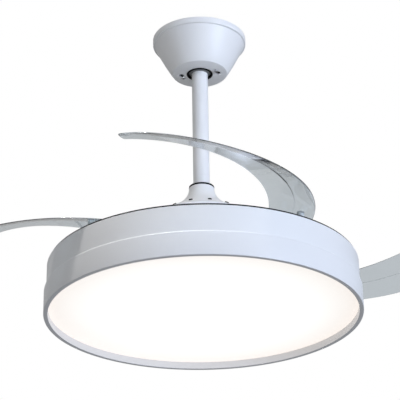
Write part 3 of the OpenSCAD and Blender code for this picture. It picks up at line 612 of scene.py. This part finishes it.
def make_finishes():
    """Every finish of the record, by its slot."""
    settings = bpy.context.scene.fan_paint
    tones = {row["slot"]: row["base_color"] for row in frame["record"]["materials"]}
    tones.update(white_enamel=settings.enamel, white_coated_plate=settings.plate,
                 black_rubber=settings.rubber, clear_blade=settings.blade)
    makers = {
        "white_enamel": (powder_coat, {}),
        "white_coated_plate": (plate_coat, {}),
        "black_rubber": (black_rubber, {}),
        "zinc_steel": (worked_steel, {"rough": 0.34, "streaks": (30, 400, 400)}),
        "black_steel": (worked_steel, {"rough": 0.45, "streaks": (200, 200, 200)}),
        "spring_steel": (worked_steel, {"rough": 0.30, "streaks": (90, 90, 900)}),
        "bearing_steel": (worked_steel, {"rough": 0.16, "streaks": (20, 20, 900), "depth": 0.000004}),
        "cast_aluminium": (cast_aluminium, {}),
        "gear_nylon": (moulded, {"rough": 0.34}),
        "grey_nylon": (moulded, {"rough": 0.5}),
        "terminal_plastic": (moulded, {"rough": 0.46}),
        "core_steel": (stacked_core, {}),
        "magnet_ferrite": (moulded, {"rough": 0.6, "grain": 500}),
        "copper_coils": (wound_copper, {}),
        "led_board": (moulded, {"rough": 0.3, "grain": 300}),
        "led_chip": (led_phosphor, {}),
        "opal_acrylic": (opal_acrylic, {"middle": settings.glow, "edge": settings.glow_edge}),
        "clear_blade": (clear_blade, {}),
    }
    return {slot: make(slot, tones[slot], **details) for slot, (make, details) in makers.items()}


class FAN_OT_finishes(bpy.types.Operator):
    """Make the finishes, and give every fitting of the frame its own"""

    bl_idname = "ceiling_fan.finishes"
    bl_label = "Finishes"

    def execute(self, context):
        FINISHES.update(make_finishes())
        for node, piece in frame["nodes"].items():
            paint(piece, FINISHES[SLOT_OF[node]])
        return {"FINISHED"}


# --- on the ceiling ----------------------------------------------------------

def canopy_screw_turn(settings, i):
    """Turn of a canopy screw about the fan's axis."""
    return settings.screw_bearing - math.pi / 2 + i * math.pi


class FAN_OT_canopy(bpy.types.Operator):
    """Spin the canopy's bowl and cut its two keyholes"""

    bl_idname = "ceiling_fan.canopy"
    bl_label = "Canopy"

    def execute(self, context):
        settings = context.scene.fan_canopy
        radius, bottom, sheet = high("canopy").x, low("canopy").z, settings.sheet
        ledge, fall, bend, corner, lip = 0.003, 0.001, 0.0012, 0.0003, 0.0004
        shoulder, belly = (0.87 * radius, 0.38 * bottom), (0.69 * radius, 0.83 * bottom)
        bowl = curved([(radius - ledge, -settings.band - fall), shoulder, belly,
                       (settings.plate, bottom + fall)], steps=28)
        edge = settings.plate - bend
        inside = [point + Vector((-sheet, sheet / 2)) for point in reversed(bowl)]
        outline = [
            Vector((radius - corner, 0)), Vector((radius, -corner)),
            Vector((radius, -settings.band + 2 * corner)),
            Vector((radius - lip, -settings.band - lip / 2)), *bowl,
            Vector((settings.plate - lip, bottom + corner)), Vector((edge, bottom)),
            Vector((settings.hole, bottom)), Vector((settings.hole, bottom + sheet)),
            Vector((edge - sheet / 2, bottom + sheet)), *inside,
            Vector((radius - sheet, -settings.band + sheet / 2)), Vector((radius - sheet, 0)),
        ]
        piece = turned("canopy_bowl", outline)
        slots = joined([keyhole(settings, bottom, i) for i in range(2)])
        fit_out(smooth(combined(piece, slots, "DIFFERENCE")), "canopy")
        return {"FINISHED"}


def keyhole(settings, bottom, i):
    """The cutter of one keyhole: a round entry, and a slot along which the screw slides."""
    shank, entry, run, back, height = 0.0023, 0.0042, 0.008, 0.0012, 0.0062
    deep, top = bottom - 0.001, bottom + 0.004
    round_hole = peg(entry, deep, top, (settings.screw_circle, run))
    slot = block((2 * shank, run + shank, height), (settings.screw_circle, run / 2 - back, bottom))
    end = peg(shank, deep, top, (settings.screw_circle, -shank))
    hole = combined(combined(round_hole, slot, "UNION"), end, "UNION")
    return put(hole, Matrix.Rotation(canopy_screw_turn(settings, i), 4, "Z"))


class FAN_OT_canopy_fittings(bpy.types.Operator):
    """Make the grommet in the canopy's hole and the canopy's two screws"""

    bl_idname = "ceiling_fan.canopy_fittings"
    bl_label = "Canopy fittings"

    def execute(self, context):
        settings = context.scene.fan_canopy
        bottom, sheet, wall, lip, soft, crisp = low("canopy").z, settings.sheet, 0.002, 0.0012, 0.0005, 0.0002
        hole, inner = settings.hole, settings.hole - wall
        grommet = turned("canopy_grommet_ring", rounded([
            (inner, bottom - lip, soft), (hole + lip, bottom - lip, soft), (hole + lip, bottom, crisp),
            (hole, bottom), (hole, bottom + sheet), (hole + lip, bottom + sheet, crisp),
            (hole + lip, bottom + sheet + lip, soft), (inner, bottom + sheet + lip, soft)]), steps=96)
        fit_out(smooth(grommet), "canopy_grommet")
        grip = high("canopy_screws").z - bottom
        screws = joined([
            put(pan_screw(shank=0.002, head=0.0037, rise=0.0023, grip=grip),
                Matrix.Rotation(canopy_screw_turn(settings, i), 4, "Z")
                @ Matrix.Translation((settings.screw_circle, 0, bottom)))
            for i in range(2)])
        screws.name = "canopy_pan_screws"
        fit_out(smooth(screws), "canopy_screws")
        return {"FINISHED"}


def pan_screw(shank, head, rise, grip):
    """A pan-head screw with a cross and a turned thread, pointing up. Its head's underside is at 0."""
    pitch, crest, root, tip, side = 0.0007, 0.35, 0.85, 0.6, 0.45
    thread = []
    for k in range(int(grip / pitch) - 1):
        thread += [Vector((shank, (k + crest) * pitch)), Vector((0.86 * shank, (k + root) * pitch))]
    dome = [Vector((head * math.cos(slope), -rise * (side + (1 - side) * math.sin(slope))))
            for slope in (math.radians(12 * k) for k in range(8, -1, -1))]
    outline = [Vector((0, -rise)), *dome, Vector((head, 0)), Vector((shank, 0)), *thread,
               Vector((tip * shank, grip)), Vector((0, grip))]
    screw = turned("pan_screw", outline, steps=40)
    arm = (1.15 * head, 0.22 * head, 1.2 * rise)
    cutters = [block(arm, (0, 0, -rise), turn) for turn in (0, math.pi / 2)]
    return combined(screw, combined(*cutters, "UNION"), "DIFFERENCE")


class FAN_OT_downrod(bpy.types.Operator):
    """Spin the painted downrod and drill its two cross holes"""

    bl_idname = "ceiling_fan.downrod"
    bl_label = "Downrod"

    def execute(self, context):
        radius, bottom, top = extent("downrod")
        wall, chamfer, drill, reach = 0.002, 0.0004, 0.00305, 0.03
        tube = turned("downrod_tube", rounded([
            (radius - wall, bottom, chamfer), (radius, bottom, chamfer), (radius, top, chamfer),
            (radius - wall, top, chamfer)]), steps=128)
        across = Matrix.Rotation(math.pi / 2, 4, "Y")
        heights = [(low(node).z + high(node).z) / 2 for node in ("coupling_bolt", "ball_pin")]
        drills = joined([
            put(peg(drill, -reach, reach), Matrix.Translation((0, 0, height)) @ across)
            for height in heights])
        fit_out(smooth(combined(tube, drills, "DIFFERENCE")), "downrod")
        return {"FINISHED"}


class FAN_OT_motor_cover(bpy.types.Operator):
    """Spin the flared motor cover, drill its vents and line them, and make the gasket on its neck"""

    bl_idname = "ceiling_fan.motor_cover"
    bl_label = "Motor cover"

    def execute(self, context):
        settings = context.scene.fan_cover
        clearance = 0.001
        bore = high("downrod").x + clearance
        flare = self.flare(settings)
        outer = curved(flare, steps=40)
        cover = self.cover(settings, outer, bore)
        seat, reach = self.vent_seat(flare), 0.006
        drill = put(peg(settings.vent_radius, -reach, reach), seat)
        cover = combined(cover, around(drill, settings.vents, settings.vent_bearing), "DIFFERENCE")
        self.painted_shade_eyelets(settings, seat)
        web = self.web(settings, outer)
        fit_out(smooth(joined([cover, web])), "motor_cover")
        self.gasket(bore)
        return {"FINISHED"}

    def flare(self, settings):
        """Control points of the flare, from the neck down to the skirt."""
        neck_run, foot_run, foot_rise = 0.029, 0.025, 0.037
        radius, bottom, top = extent("motor_cover")
        return [Vector(point) for point in (
            (settings.neck, top), (settings.neck, top - neck_run), (radius - foot_run, bottom + foot_rise),
            (radius, bottom + settings.skirt))]

    def cover(self, settings, outer, bore):
        """The flared sheet with its rim at the neck and its skirt."""
        radius, bottom, top = extent("motor_cover")
        neck, sheet, slant = settings.neck, settings.sheet, 0.8 * settings.sheet
        corner, bevel, drop, lip = 0.0006, 0.0002, 0.0007, 0.0004
        inner = [point + Vector((-sheet, -slant)) for point in reversed(outer)]
        return turned("motor_cover_flare", [
            Vector((bore, top)), Vector((neck - corner, top)), Vector((neck - bevel, top - bevel)),
            Vector((neck, top - drop)), *outer[1:], Vector((radius, bottom + corner)),
            Vector((radius - lip, bottom)), Vector((radius - sheet, bottom)), *inner,
            Vector((bore, top - slant))])

    def vent_seat(self, flare):
        """Where the first vent's axis stands on the flare, square to its sheet."""
        place, step = 0.68, 0.01
        above, vent, below = (bezier(flare, t) for t in (place - step, place, place + step))
        tilt = math.atan2(above.y - below.y, below.x - above.x)
        return Matrix.Translation((vent.x, 0, vent.y)) @ Matrix.Rotation(tilt, 4, "Y")

    def painted_shade_eyelets(self, settings, seat):
        """A small black rubber eyelet in each vent; its black is partly painted shade that darkens the vent as the
        shade inside it would.
        """
        play, hole, brim, tail, under, crown = 0.0001, 0.0013, 0.0031, -0.0022, -0.0002, 0.0018
        stem, crisp, soft, domed, dimple = settings.vent_radius - play, 0.0002, 0.0003, 0.0009, 0.0005
        painted_shade_eyelet = put(turned("vent_eyelet", rounded([
            (hole, tail, crisp), (stem, tail, soft), (stem, under), (brim, under),
            (brim, crown, domed), (hole, crown, dimple)]), steps=32), seat)
        painted_shade_eyelets = smooth(around(painted_shade_eyelet, settings.vents, settings.vent_bearing))
        painted_shade_eyelets.name = "vent_eyelets_painted_shade"
        # The eyelets' black rubber also serves as painted shade: it darkens the vents as the shade inside them
        # would.
        paint(painted_shade_eyelets, FINISHES["black_rubber"])
        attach(painted_shade_eyelets, BODY_OF["motor_cover"])

    def web(self, settings, outer):
        """The level web inside the cover that sits on the coupling."""
        drop, hole, sheet = 0.006, 0.0171, settings.sheet
        shoulder = high("rod_coupling").z - drop
        reach = next(point[0] for point in outer if point[1] < shoulder + sheet) - sheet / 2
        return turned("cover_web", rounded([
            (hole, shoulder), (reach, shoulder), (reach, shoulder + sheet), (hole, shoulder + sheet)]),
            steps=128)

    def gasket(self, bore):
        """The rubber ring between the rod and the cover's neck."""
        reach_in, crisp, soft, round_edge = 0.00095, 0.0003, 0.0004, 0.0006
        radius, base, crown = extent("cover_gasket")
        inner = bore - reach_in
        gasket = turned("cover_gasket_ring", rounded([
            (inner, base, crisp), (radius, base, soft), (radius, crown, round_edge),
            (inner, crown, round_edge)]), steps=128)
        fit_out(smooth(gasket), "cover_gasket")


# --- lamp drum ---------------------------------------------------------------

class FAN_OT_upper_shell(bpy.types.Operator):
    """Spin the drum's upper shell with its deck, and the black trim on its edge"""

    bl_idname = "ceiling_fan.upper_shell"
    bl_label = "Upper shell"

    def execute(self, context):
        settings = context.scene.fan_drum
        radius, bottom, top = extent("upper_shell")
        sheet, bend, shaft, crisp, soft = settings.shell_sheet, 0.001, 0.00855, 0.0003, 0.0005
        wall, deck = radius - sheet, top - settings.deck_recess
        shell = turned("upper_shell_drum", rounded([
            (radius, bottom, crisp), (radius, top, soft), (wall, top, soft), (wall, deck, bend),
            (shaft, deck), (shaft, deck - sheet), (wall, deck - sheet, bend), (wall, bottom, crisp)]),
            steps=256)
        fit_out(smooth(shell), "upper_shell")
        thick, hold, edge, rest = 0.0014, 0.003, 0.001, 0.0002
        inner, grip, crown = wall - thick, top - hold, high("shell_edge_trim").z
        lip = wall - settings.trim_lean
        trim = turned("shell_edge_lip", rounded([
            (wall, grip, crisp), (wall, top - rest, crisp), (lip, crown, crisp), (lip - edge, crown, crisp),
            (inner, top - soft, soft), (inner, grip, crisp)]), steps=256)
        fit_out(smooth(trim), "shell_edge_trim")
        return {"FINISHED"}


class FAN_OT_shade_ring(bpy.types.Operator):
    """Spin the shade ring with its rolled edge and the four ledges that hang on the pins"""

    bl_idname = "ceiling_fan.shade_ring"
    bl_label = "Shade ring"

    def execute(self, context):
        settings = context.scene.fan_drum
        radius, top = high("shade_ring").x, high("shade_ring").z
        sheet, roll, lip = settings.ring_sheet, settings.ring_roll, low("diffuser").z
        rim, wall = radius - settings.ring_rim, radius - sheet
        crisp, soft, lower_in, lower_out = 0.0003, 0.0004, 0.0006, 0.0009
        shell_gap, ledge_gap, pin_gap, head_overhang, thick = 0.0005, 0.0004, 0.0003, 0.0015, 0.0016
        step = high("upper_shell").x + shell_gap
        ring = turned("shade_ring_rolled", rounded([
            (rim, RIM, lower_in), (radius, RIM, lower_out), (radius, top, roll), (step, top, crisp),
            (step, top - sheet, crisp), (wall, top - sheet, roll - sheet), (wall, RIM + sheet, soft),
            (rim + sheet, RIM + sheet, soft), (rim + sheet, lip, soft), (rim, lip, soft)], facets=6),
            steps=256)
        pin_top = high("bayonet_pins").z - head_overhang
        near, far, shelf = high("upper_shell").x + ledge_gap, wall + sheet / 2, pin_top + pin_gap
        past_pin, first_pin = math.radians(1.5), math.radians(45)
        ledge = turned("ledge", [
            Vector((near, shelf)), Vector((far, shelf)), Vector((far, shelf + thick)),
            Vector((near, shelf + thick))], steps=12, sweep=settings.twist, start=past_pin - settings.twist)
        ledges = around(ledge, count=4, start=first_pin)
        fit_out(smooth(joined([ring, ledges])), "shade_ring")
        return {"FINISHED"}


class FAN_OT_diffuser(bpy.types.Operator):
    """Spin the opal diffuser"""

    bl_idname = "ceiling_fan.diffuser"
    bl_label = "Diffuser"

    def execute(self, context):
        radius, bottom, top = extent("diffuser")
        lower, upper = 0.0005, 0.0008
        disc = turned("opal_diffuser", rounded([
            (0, bottom), (radius, bottom, lower), (radius, top, upper), (0, top)]), steps=256)
        fit_out(smooth(disc), "diffuser")
        return {"FINISHED"}


# --- blades ------------------------------------------------------------------

class BladeForm:
    """Places on a blade: t runs along its line and s across its chord."""

    tip_from = 0.993  # where the tip's corners begin to round off
    tip_share = 0.85  # share of the chord that is left at the very tip
    bead_width = 0.0011
    crease_fade = 4  # the power by which the crease dies out towards the tip
    beside_crease = (-0.02, -0.012, -0.005, 0, 0.005, 0.012, 0.02)
    screws = ((0.113, 0.0), (0.148, 0.2), (0.131, -0.2))

    def __init__(self, settings):
        self.settings = settings
        self.spine = [Vector(pair) for pair in zip(settings.spine_x, settings.spine_y)]
        self.top = high("upper_shell").z

    def hub(self, number):
        """Where a blade's pivot stands, and how the blade is turned on it."""
        turn = math.radians(self.settings.setting[number] - 360 * number / BLADES)
        pivot = Vector((PIVOTS[number].x, PIVOTS[number].y, 0))
        return Matrix.Translation(pivot) @ Matrix.Rotation(turn, 4, "Z")

    def across(self, t):
        """The level direction across the blade."""
        step = 1e-4
        ahead = (bezier(self.spine, t + step) - bezier(self.spine, t - step)).normalized()
        return Vector((-ahead.y, ahead.x))

    def width(self, t):
        """The chord, drawn in where the tip's corners round off."""
        past = max(0.0, (t - self.tip_from) / (1 - self.tip_from))
        kept = self.tip_share + (1 - self.tip_share) * math.sqrt(max(0.0, 1 - past * past))
        return bezier(self.settings.chord, t) * kept

    def crown(self, s):
        """1 on the crease, falling to 0 at both edges."""
        at = self.settings.crease_at
        return (0.5 - s) / (0.5 - at) if s > at else (s + 0.5) / (at + 0.5)

    def place(self, t, s, side):
        """A point of the blade, with side -1 on its lower face and +1 on its upper one."""
        settings, reach = self.settings, s * self.width(t)
        pitch = math.radians(bezier(settings.pitch, t))
        flat = bezier(self.spine, t) + self.across(t) * reach * math.cos(pitch)
        crown = self.crown(s)
        from_crease = (s - settings.crease_at) * self.width(t) / self.bead_width
        bead = settings.bead * math.exp(-from_crease * from_crease) if side > 0 else 0
        half = (settings.thin + (settings.thick - settings.thin) * crown) / 2
        crease = settings.crease * (1 - t ** self.crease_fade) * crown
        height = bezier(settings.lift, t) - reach * math.sin(pitch) + crease + side * half + bead
        return Vector((flat.x, flat.y, self.top + height))

    def section(self, t):
        """The closed outline across the blade, with half-round edges."""
        round_in = self.settings.thin / 2 / self.width(t)
        crease = [self.settings.crease_at + offset for offset in self.beside_crease]
        left = spaced(-0.5 + round_in, crease[0], count=12)
        right = spaced(crease[-1], 0.5 - round_in, count=10)
        spots = left[:-1] + crease + right[1:]
        lower = [self.place(t, s, -1) for s in spots]
        upper = [self.place(t, s, 1) for s in reversed(spots)]
        nose = [self.nose(t, 1, round_in, degrees) for degrees in (-50, 0, 50)]
        tail = [self.nose(t, -1, round_in, degrees) for degrees in (50, 0, -50)]
        return lower + nose + upper + tail

    def nose(self, t, edge, round_in, degrees):
        """A point of the half-round edge, at an angle from the edge's own direction."""
        slope = math.radians(degrees)
        s = edge * (0.5 - round_in + round_in * math.cos(slope))
        return self.place(t, s, math.sin(slope))

    def stations(self, count):
        """Places along the blade, crowded at its tip."""
        tip = [math.sin(turn) for turn in spaced(0, math.pi / 2, count=5)]
        return spaced(self.settings.start, self.tip_from, count) + [
            self.tip_from + (1 - self.tip_from) * share for share in tip[1:]]

    def screw_spots(self):
        """Where the three screws hold the blade on its arm."""
        for t, s in self.screws:
            flat = bezier(self.spine, t) + self.across(t) * s * bezier(self.settings.chord, t)
            yield flat, self.place(t, s, 0).z


def spaced(first, last, count):
    """Numbers from first to last in equal steps, both included."""
    return [first + (last - first) * k / count for k in range(count + 1)]


def lofted(name, sections):
    """A grid whose rows become the sections, closed round and at both ends."""
    rows, around_it = len(sections), len(sections[0])
    deselect()
    bpy.ops.mesh.primitive_grid_add(x_subdivisions=around_it, y_subdivisions=rows - 1, size=1)
    piece = bpy.context.object
    piece.name = name
    for vertex in piece.data.vertices:
        column = round((vertex.co.x + 0.5) * around_it)
        row = round((vertex.co.y + 0.5) * (rows - 1))
        vertex.co = sections[row][column % around_it]
    bpy.ops.object.mode_set(mode="EDIT")
    select_all()
    bpy.ops.mesh.remove_doubles(threshold=1e-7)
    bpy.ops.mesh.select_all(action="DESELECT")
    bpy.ops.mesh.select_non_manifold()
    bpy.ops.mesh.fill_holes(sides=0)
    select_all()
    bpy.ops.mesh.normals_make_consistent(inside=False)
    bpy.ops.object.mode_set(mode="OBJECT")
    return piece


class FAN_OT_blades(bpy.types.Operator):
    """Loft the four clear blades and mould the frosted, painted-light feet under them, all bored for their screws
    """

    bl_idname = "ceiling_fan.blades"
    bl_label = "Blades"

    def execute(self, context):
        settings = context.scene.fan_blade
        form = BladeForm(settings)
        arm_top, drill, start, depth, sharp = high("blade_arm_1").z, 0.00205, 0.001, 0.0047, 40
        sheet = lofted("blade_sheet", [form.section(t) for t in form.stations(count=90)])
        feet = joined([peg(settings.foot, arm_top, height, flat) for flat, height in form.screw_spots()])
        drills = joined([peg(drill, arm_top - start, arm_top + depth, flat)
                         for flat, height in form.screw_spots()])
        blade = smooth(combined(sheet, copied(drills, Matrix()), "DIFFERENCE"), sharp)
        feet = smooth(combined(feet, drills, "DIFFERENCE"), sharp)
        # The feet take the blade's tint lifted 1.4 times: partly frosted plastic, partly painted light that
        # offsets the shade under the blade.
        frosted_and_lightened = moulded("frosted_foot_painted_light", shade_of(context.scene.fan_paint.blade, 1.4), rough=0.5)
        for number in range(BLADES):
            node = f"blade_{number + 1}"
            piece = copied(blade, form.hub(number))
            piece.name = f"clear_{node}"
            fit_out(piece, node)
            foot = copied(feet, form.hub(number))
            foot.name = f"{node}_feet"
            paint(foot, frosted_and_lightened)
            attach(foot, BODY_OF[node])
        bpy.data.objects.remove(blade)
        bpy.data.objects.remove(feet)
        return {"FINISHED"}


# --- stage -------------------------------------------------------------------

class FAN_OT_stage(bpy.types.Operator):
    """Set the camera, the lamps, the white surroundings and the floor"""

    bl_idname = "ceiling_fan.stage"
    bl_label = "Stage"

    def execute(self, context):
        settings = context.scene.fan_studio
        self.camera(context.scene, settings)
        middle = (FRAME_BOX[0] + FRAME_BOX[1]) / 2
        self.lamp("key_lamp", place=(2.25, -2.0, -0.5), target=middle, size=1.3, power=settings.key,
                  tone=(0.70, 0.80, 1.0))
        self.lamp("rim_lamp", place=(-0.32, -0.64, 1.3), target=Vector((-0.11, -0.22, high("shade_ring").z)),
                  size=0.3, power=0.0055 * settings.key, tone=(1.0, 0.98, 0.95), spread=18)
        self.lamp("canopy_lamp", place=(0.45, -2.6, -0.7), target=Vector((0, 0, -0.05)), size=0.4,
                  power=0.0018 * settings.key, tone=(0.92, 0.96, 1.0), spread=14)
        self.world(context.scene, settings)
        self.floor(settings)
        self.ceiling()
        context.scene.view_settings.view_transform = "Standard"
        return {"FINISHED"}

    def camera(self, scene, settings):
        """The camera at its place, with its aim as pitch, turn and roll."""
        pitch, turn, roll = settings.aim
        forward = Vector((
            math.sin(turn) * math.cos(pitch), math.cos(turn) * math.cos(pitch), math.sin(pitch)))
        right = Vector((math.cos(turn), -math.sin(turn), 0))
        up = right.cross(forward)
        level = Matrix((right, up, -forward)).transposed()
        camera = bpy.data.objects.new("camera", bpy.data.cameras.new("camera"))
        camera.data.lens = settings.lens
        camera.data.sensor_width = 36
        camera.matrix_world = (Matrix.Translation(settings.camera)
                               @ (level @ Matrix.Rotation(roll, 3, "Z")).to_4x4())
        scene.collection.objects.link(camera)
        scene.camera = camera

    def lamp(self, name, place, target, size, power, tone, spread=180):
        """A square soft lamp that looks at a target, with its spread in degrees."""
        light = bpy.data.lights.new(name, "AREA")
        light.size = size
        light.spread = math.radians(spread)
        light.energy = power
        light.color = tone
        lamp = bpy.data.objects.new(name, light)
        lamp.location = place
        lamp.rotation_euler = (target - Vector(place)).to_track_quat("-Z", "Y").to_euler()
        bpy.context.scene.collection.objects.link(lamp)

    def world(self, scene, settings):
        """White where the camera or clear plastic looks, and a plain grey light elsewhere."""
        world = bpy.data.worlds.new("white_surroundings")
        scene.world = world
        shader = Shader(world)
        background = shader.tree.nodes["Background"]
        background.inputs["Color"].default_value = (1, 1, 1, 1)
        shader.feed(background.inputs["Strength"], shader.seen() * (1 - settings.ambient) + settings.ambient)

    def floor(self, settings):
        """A pale floor that shows only from above, and keeps the fan's shadow."""
        deselect()
        bpy.ops.mesh.primitive_circle_add(
            vertices=96, radius=7, fill_type="NGON", location=(0, 0, settings.floor))
        floor = bpy.context.object
        floor.name = "floor"
        finish = Finish("pale_floor")
        cloud = finish.noise(scale=3, detail=3)
        seen = finish.seen()
        pale = finish.mix(cloud, (0.88, 0.88, 0.88), (0.92, 0.92, 0.92))
        finish.set(base_color=finish.mix(seen, (0.5, 0.5, 0.5), pale), roughness=0.8)
        white = finish.node("ShaderNodeEmission", sockets={"Color": (1, 1, 1, 1), "Strength": 1.0})
        lit = finish.node("ShaderNodeMixShader", sockets={
            0: seen * 0.55, 1: Value(finish, finish.surface.outputs[0]), 2: white})
        under = finish.node("ShaderNodeNewGeometry", out="Backfacing")
        through = finish.node("ShaderNodeMixShader", sockets={
            0: under, 1: lit, 2: finish.node("ShaderNodeBsdfTransparent")})
        finish.feed(finish.tree.nodes["Material Output"].inputs["Surface"], through)
        floor.data.materials.append(finish.owner)

    def ceiling(self):
        """A patch of ceiling that keeps the canopy dark inside, and that no camera sees."""
        deselect()
        gap = 0.0005
        bpy.ops.mesh.primitive_circle_add(
            vertices=64, radius=high("canopy").x - gap, fill_type="NGON", location=(0, 0, gap))
        patch = bpy.context.object
        patch.name = "ceiling_patch"
        patch.visible_camera = False
        patch.visible_transmission = False
        finish = Finish("ceiling_paint")
        cloud = finish.noise(scale=20, detail=2)
        finish.set(base_color=finish.mix(cloud, (0.2, 0.2, 0.2), (0.25, 0.25, 0.25)), roughness=0.9)
        patch.data.materials.append(finish.owner)


# --- panel and registration --------------------------------------------------

STEPS = (
    FAN_OT_finishes, FAN_OT_stage, FAN_OT_canopy, FAN_OT_canopy_fittings, FAN_OT_downrod, FAN_OT_motor_cover,
    FAN_OT_upper_shell, FAN_OT_shade_ring, FAN_OT_diffuser, FAN_OT_blades,
)
SETTINGS = {
    "fan_canopy": CanopySettings, "fan_cover": CoverSettings, "fan_drum": DrumSettings,
    "fan_blade": BladeSettings, "fan_paint": PaintSettings, "fan_studio": StudioSettings,
}


class FAN_PT_panel(bpy.types.Panel):
    """The fan's settings and steps"""

    bl_label = "Ceiling Fan"
    bl_space_type = "VIEW_3D"
    bl_region_type = "UI"
    bl_category = "Ceiling Fan"

    def draw(self, context):
        for step in STEPS:
            self.layout.operator(step.bl_idname)
        for name, group in SETTINGS.items():
            box = self.layout.box()
            box.label(text=group.__doc__)
            for field in group.__annotations__:
                box.prop(getattr(context.scene, name), field)


def register():
    for group in SETTINGS.values():
        bpy.utils.register_class(group)
    for name, group in SETTINGS.items():
        setattr(bpy.types.Scene, name, bpy.props.PointerProperty(type=group))
    for step in STEPS:
        bpy.utils.register_class(step)
    bpy.utils.register_class(FAN_PT_panel)


def unregister():
    bpy.utils.unregister_class(FAN_PT_panel)
    for step in reversed(STEPS):
        bpy.utils.unregister_class(step)
    for name in SETTINGS:
        delattr(bpy.types.Scene, name)
    for group in SETTINGS.values():
        bpy.utils.unregister_class(group)


def main():
    register()
    for step in STEPS:
        area, name = step.bl_idname.split(".")
        getattr(getattr(bpy.ops, area), name)()


if __name__ == "__main__":
    main()
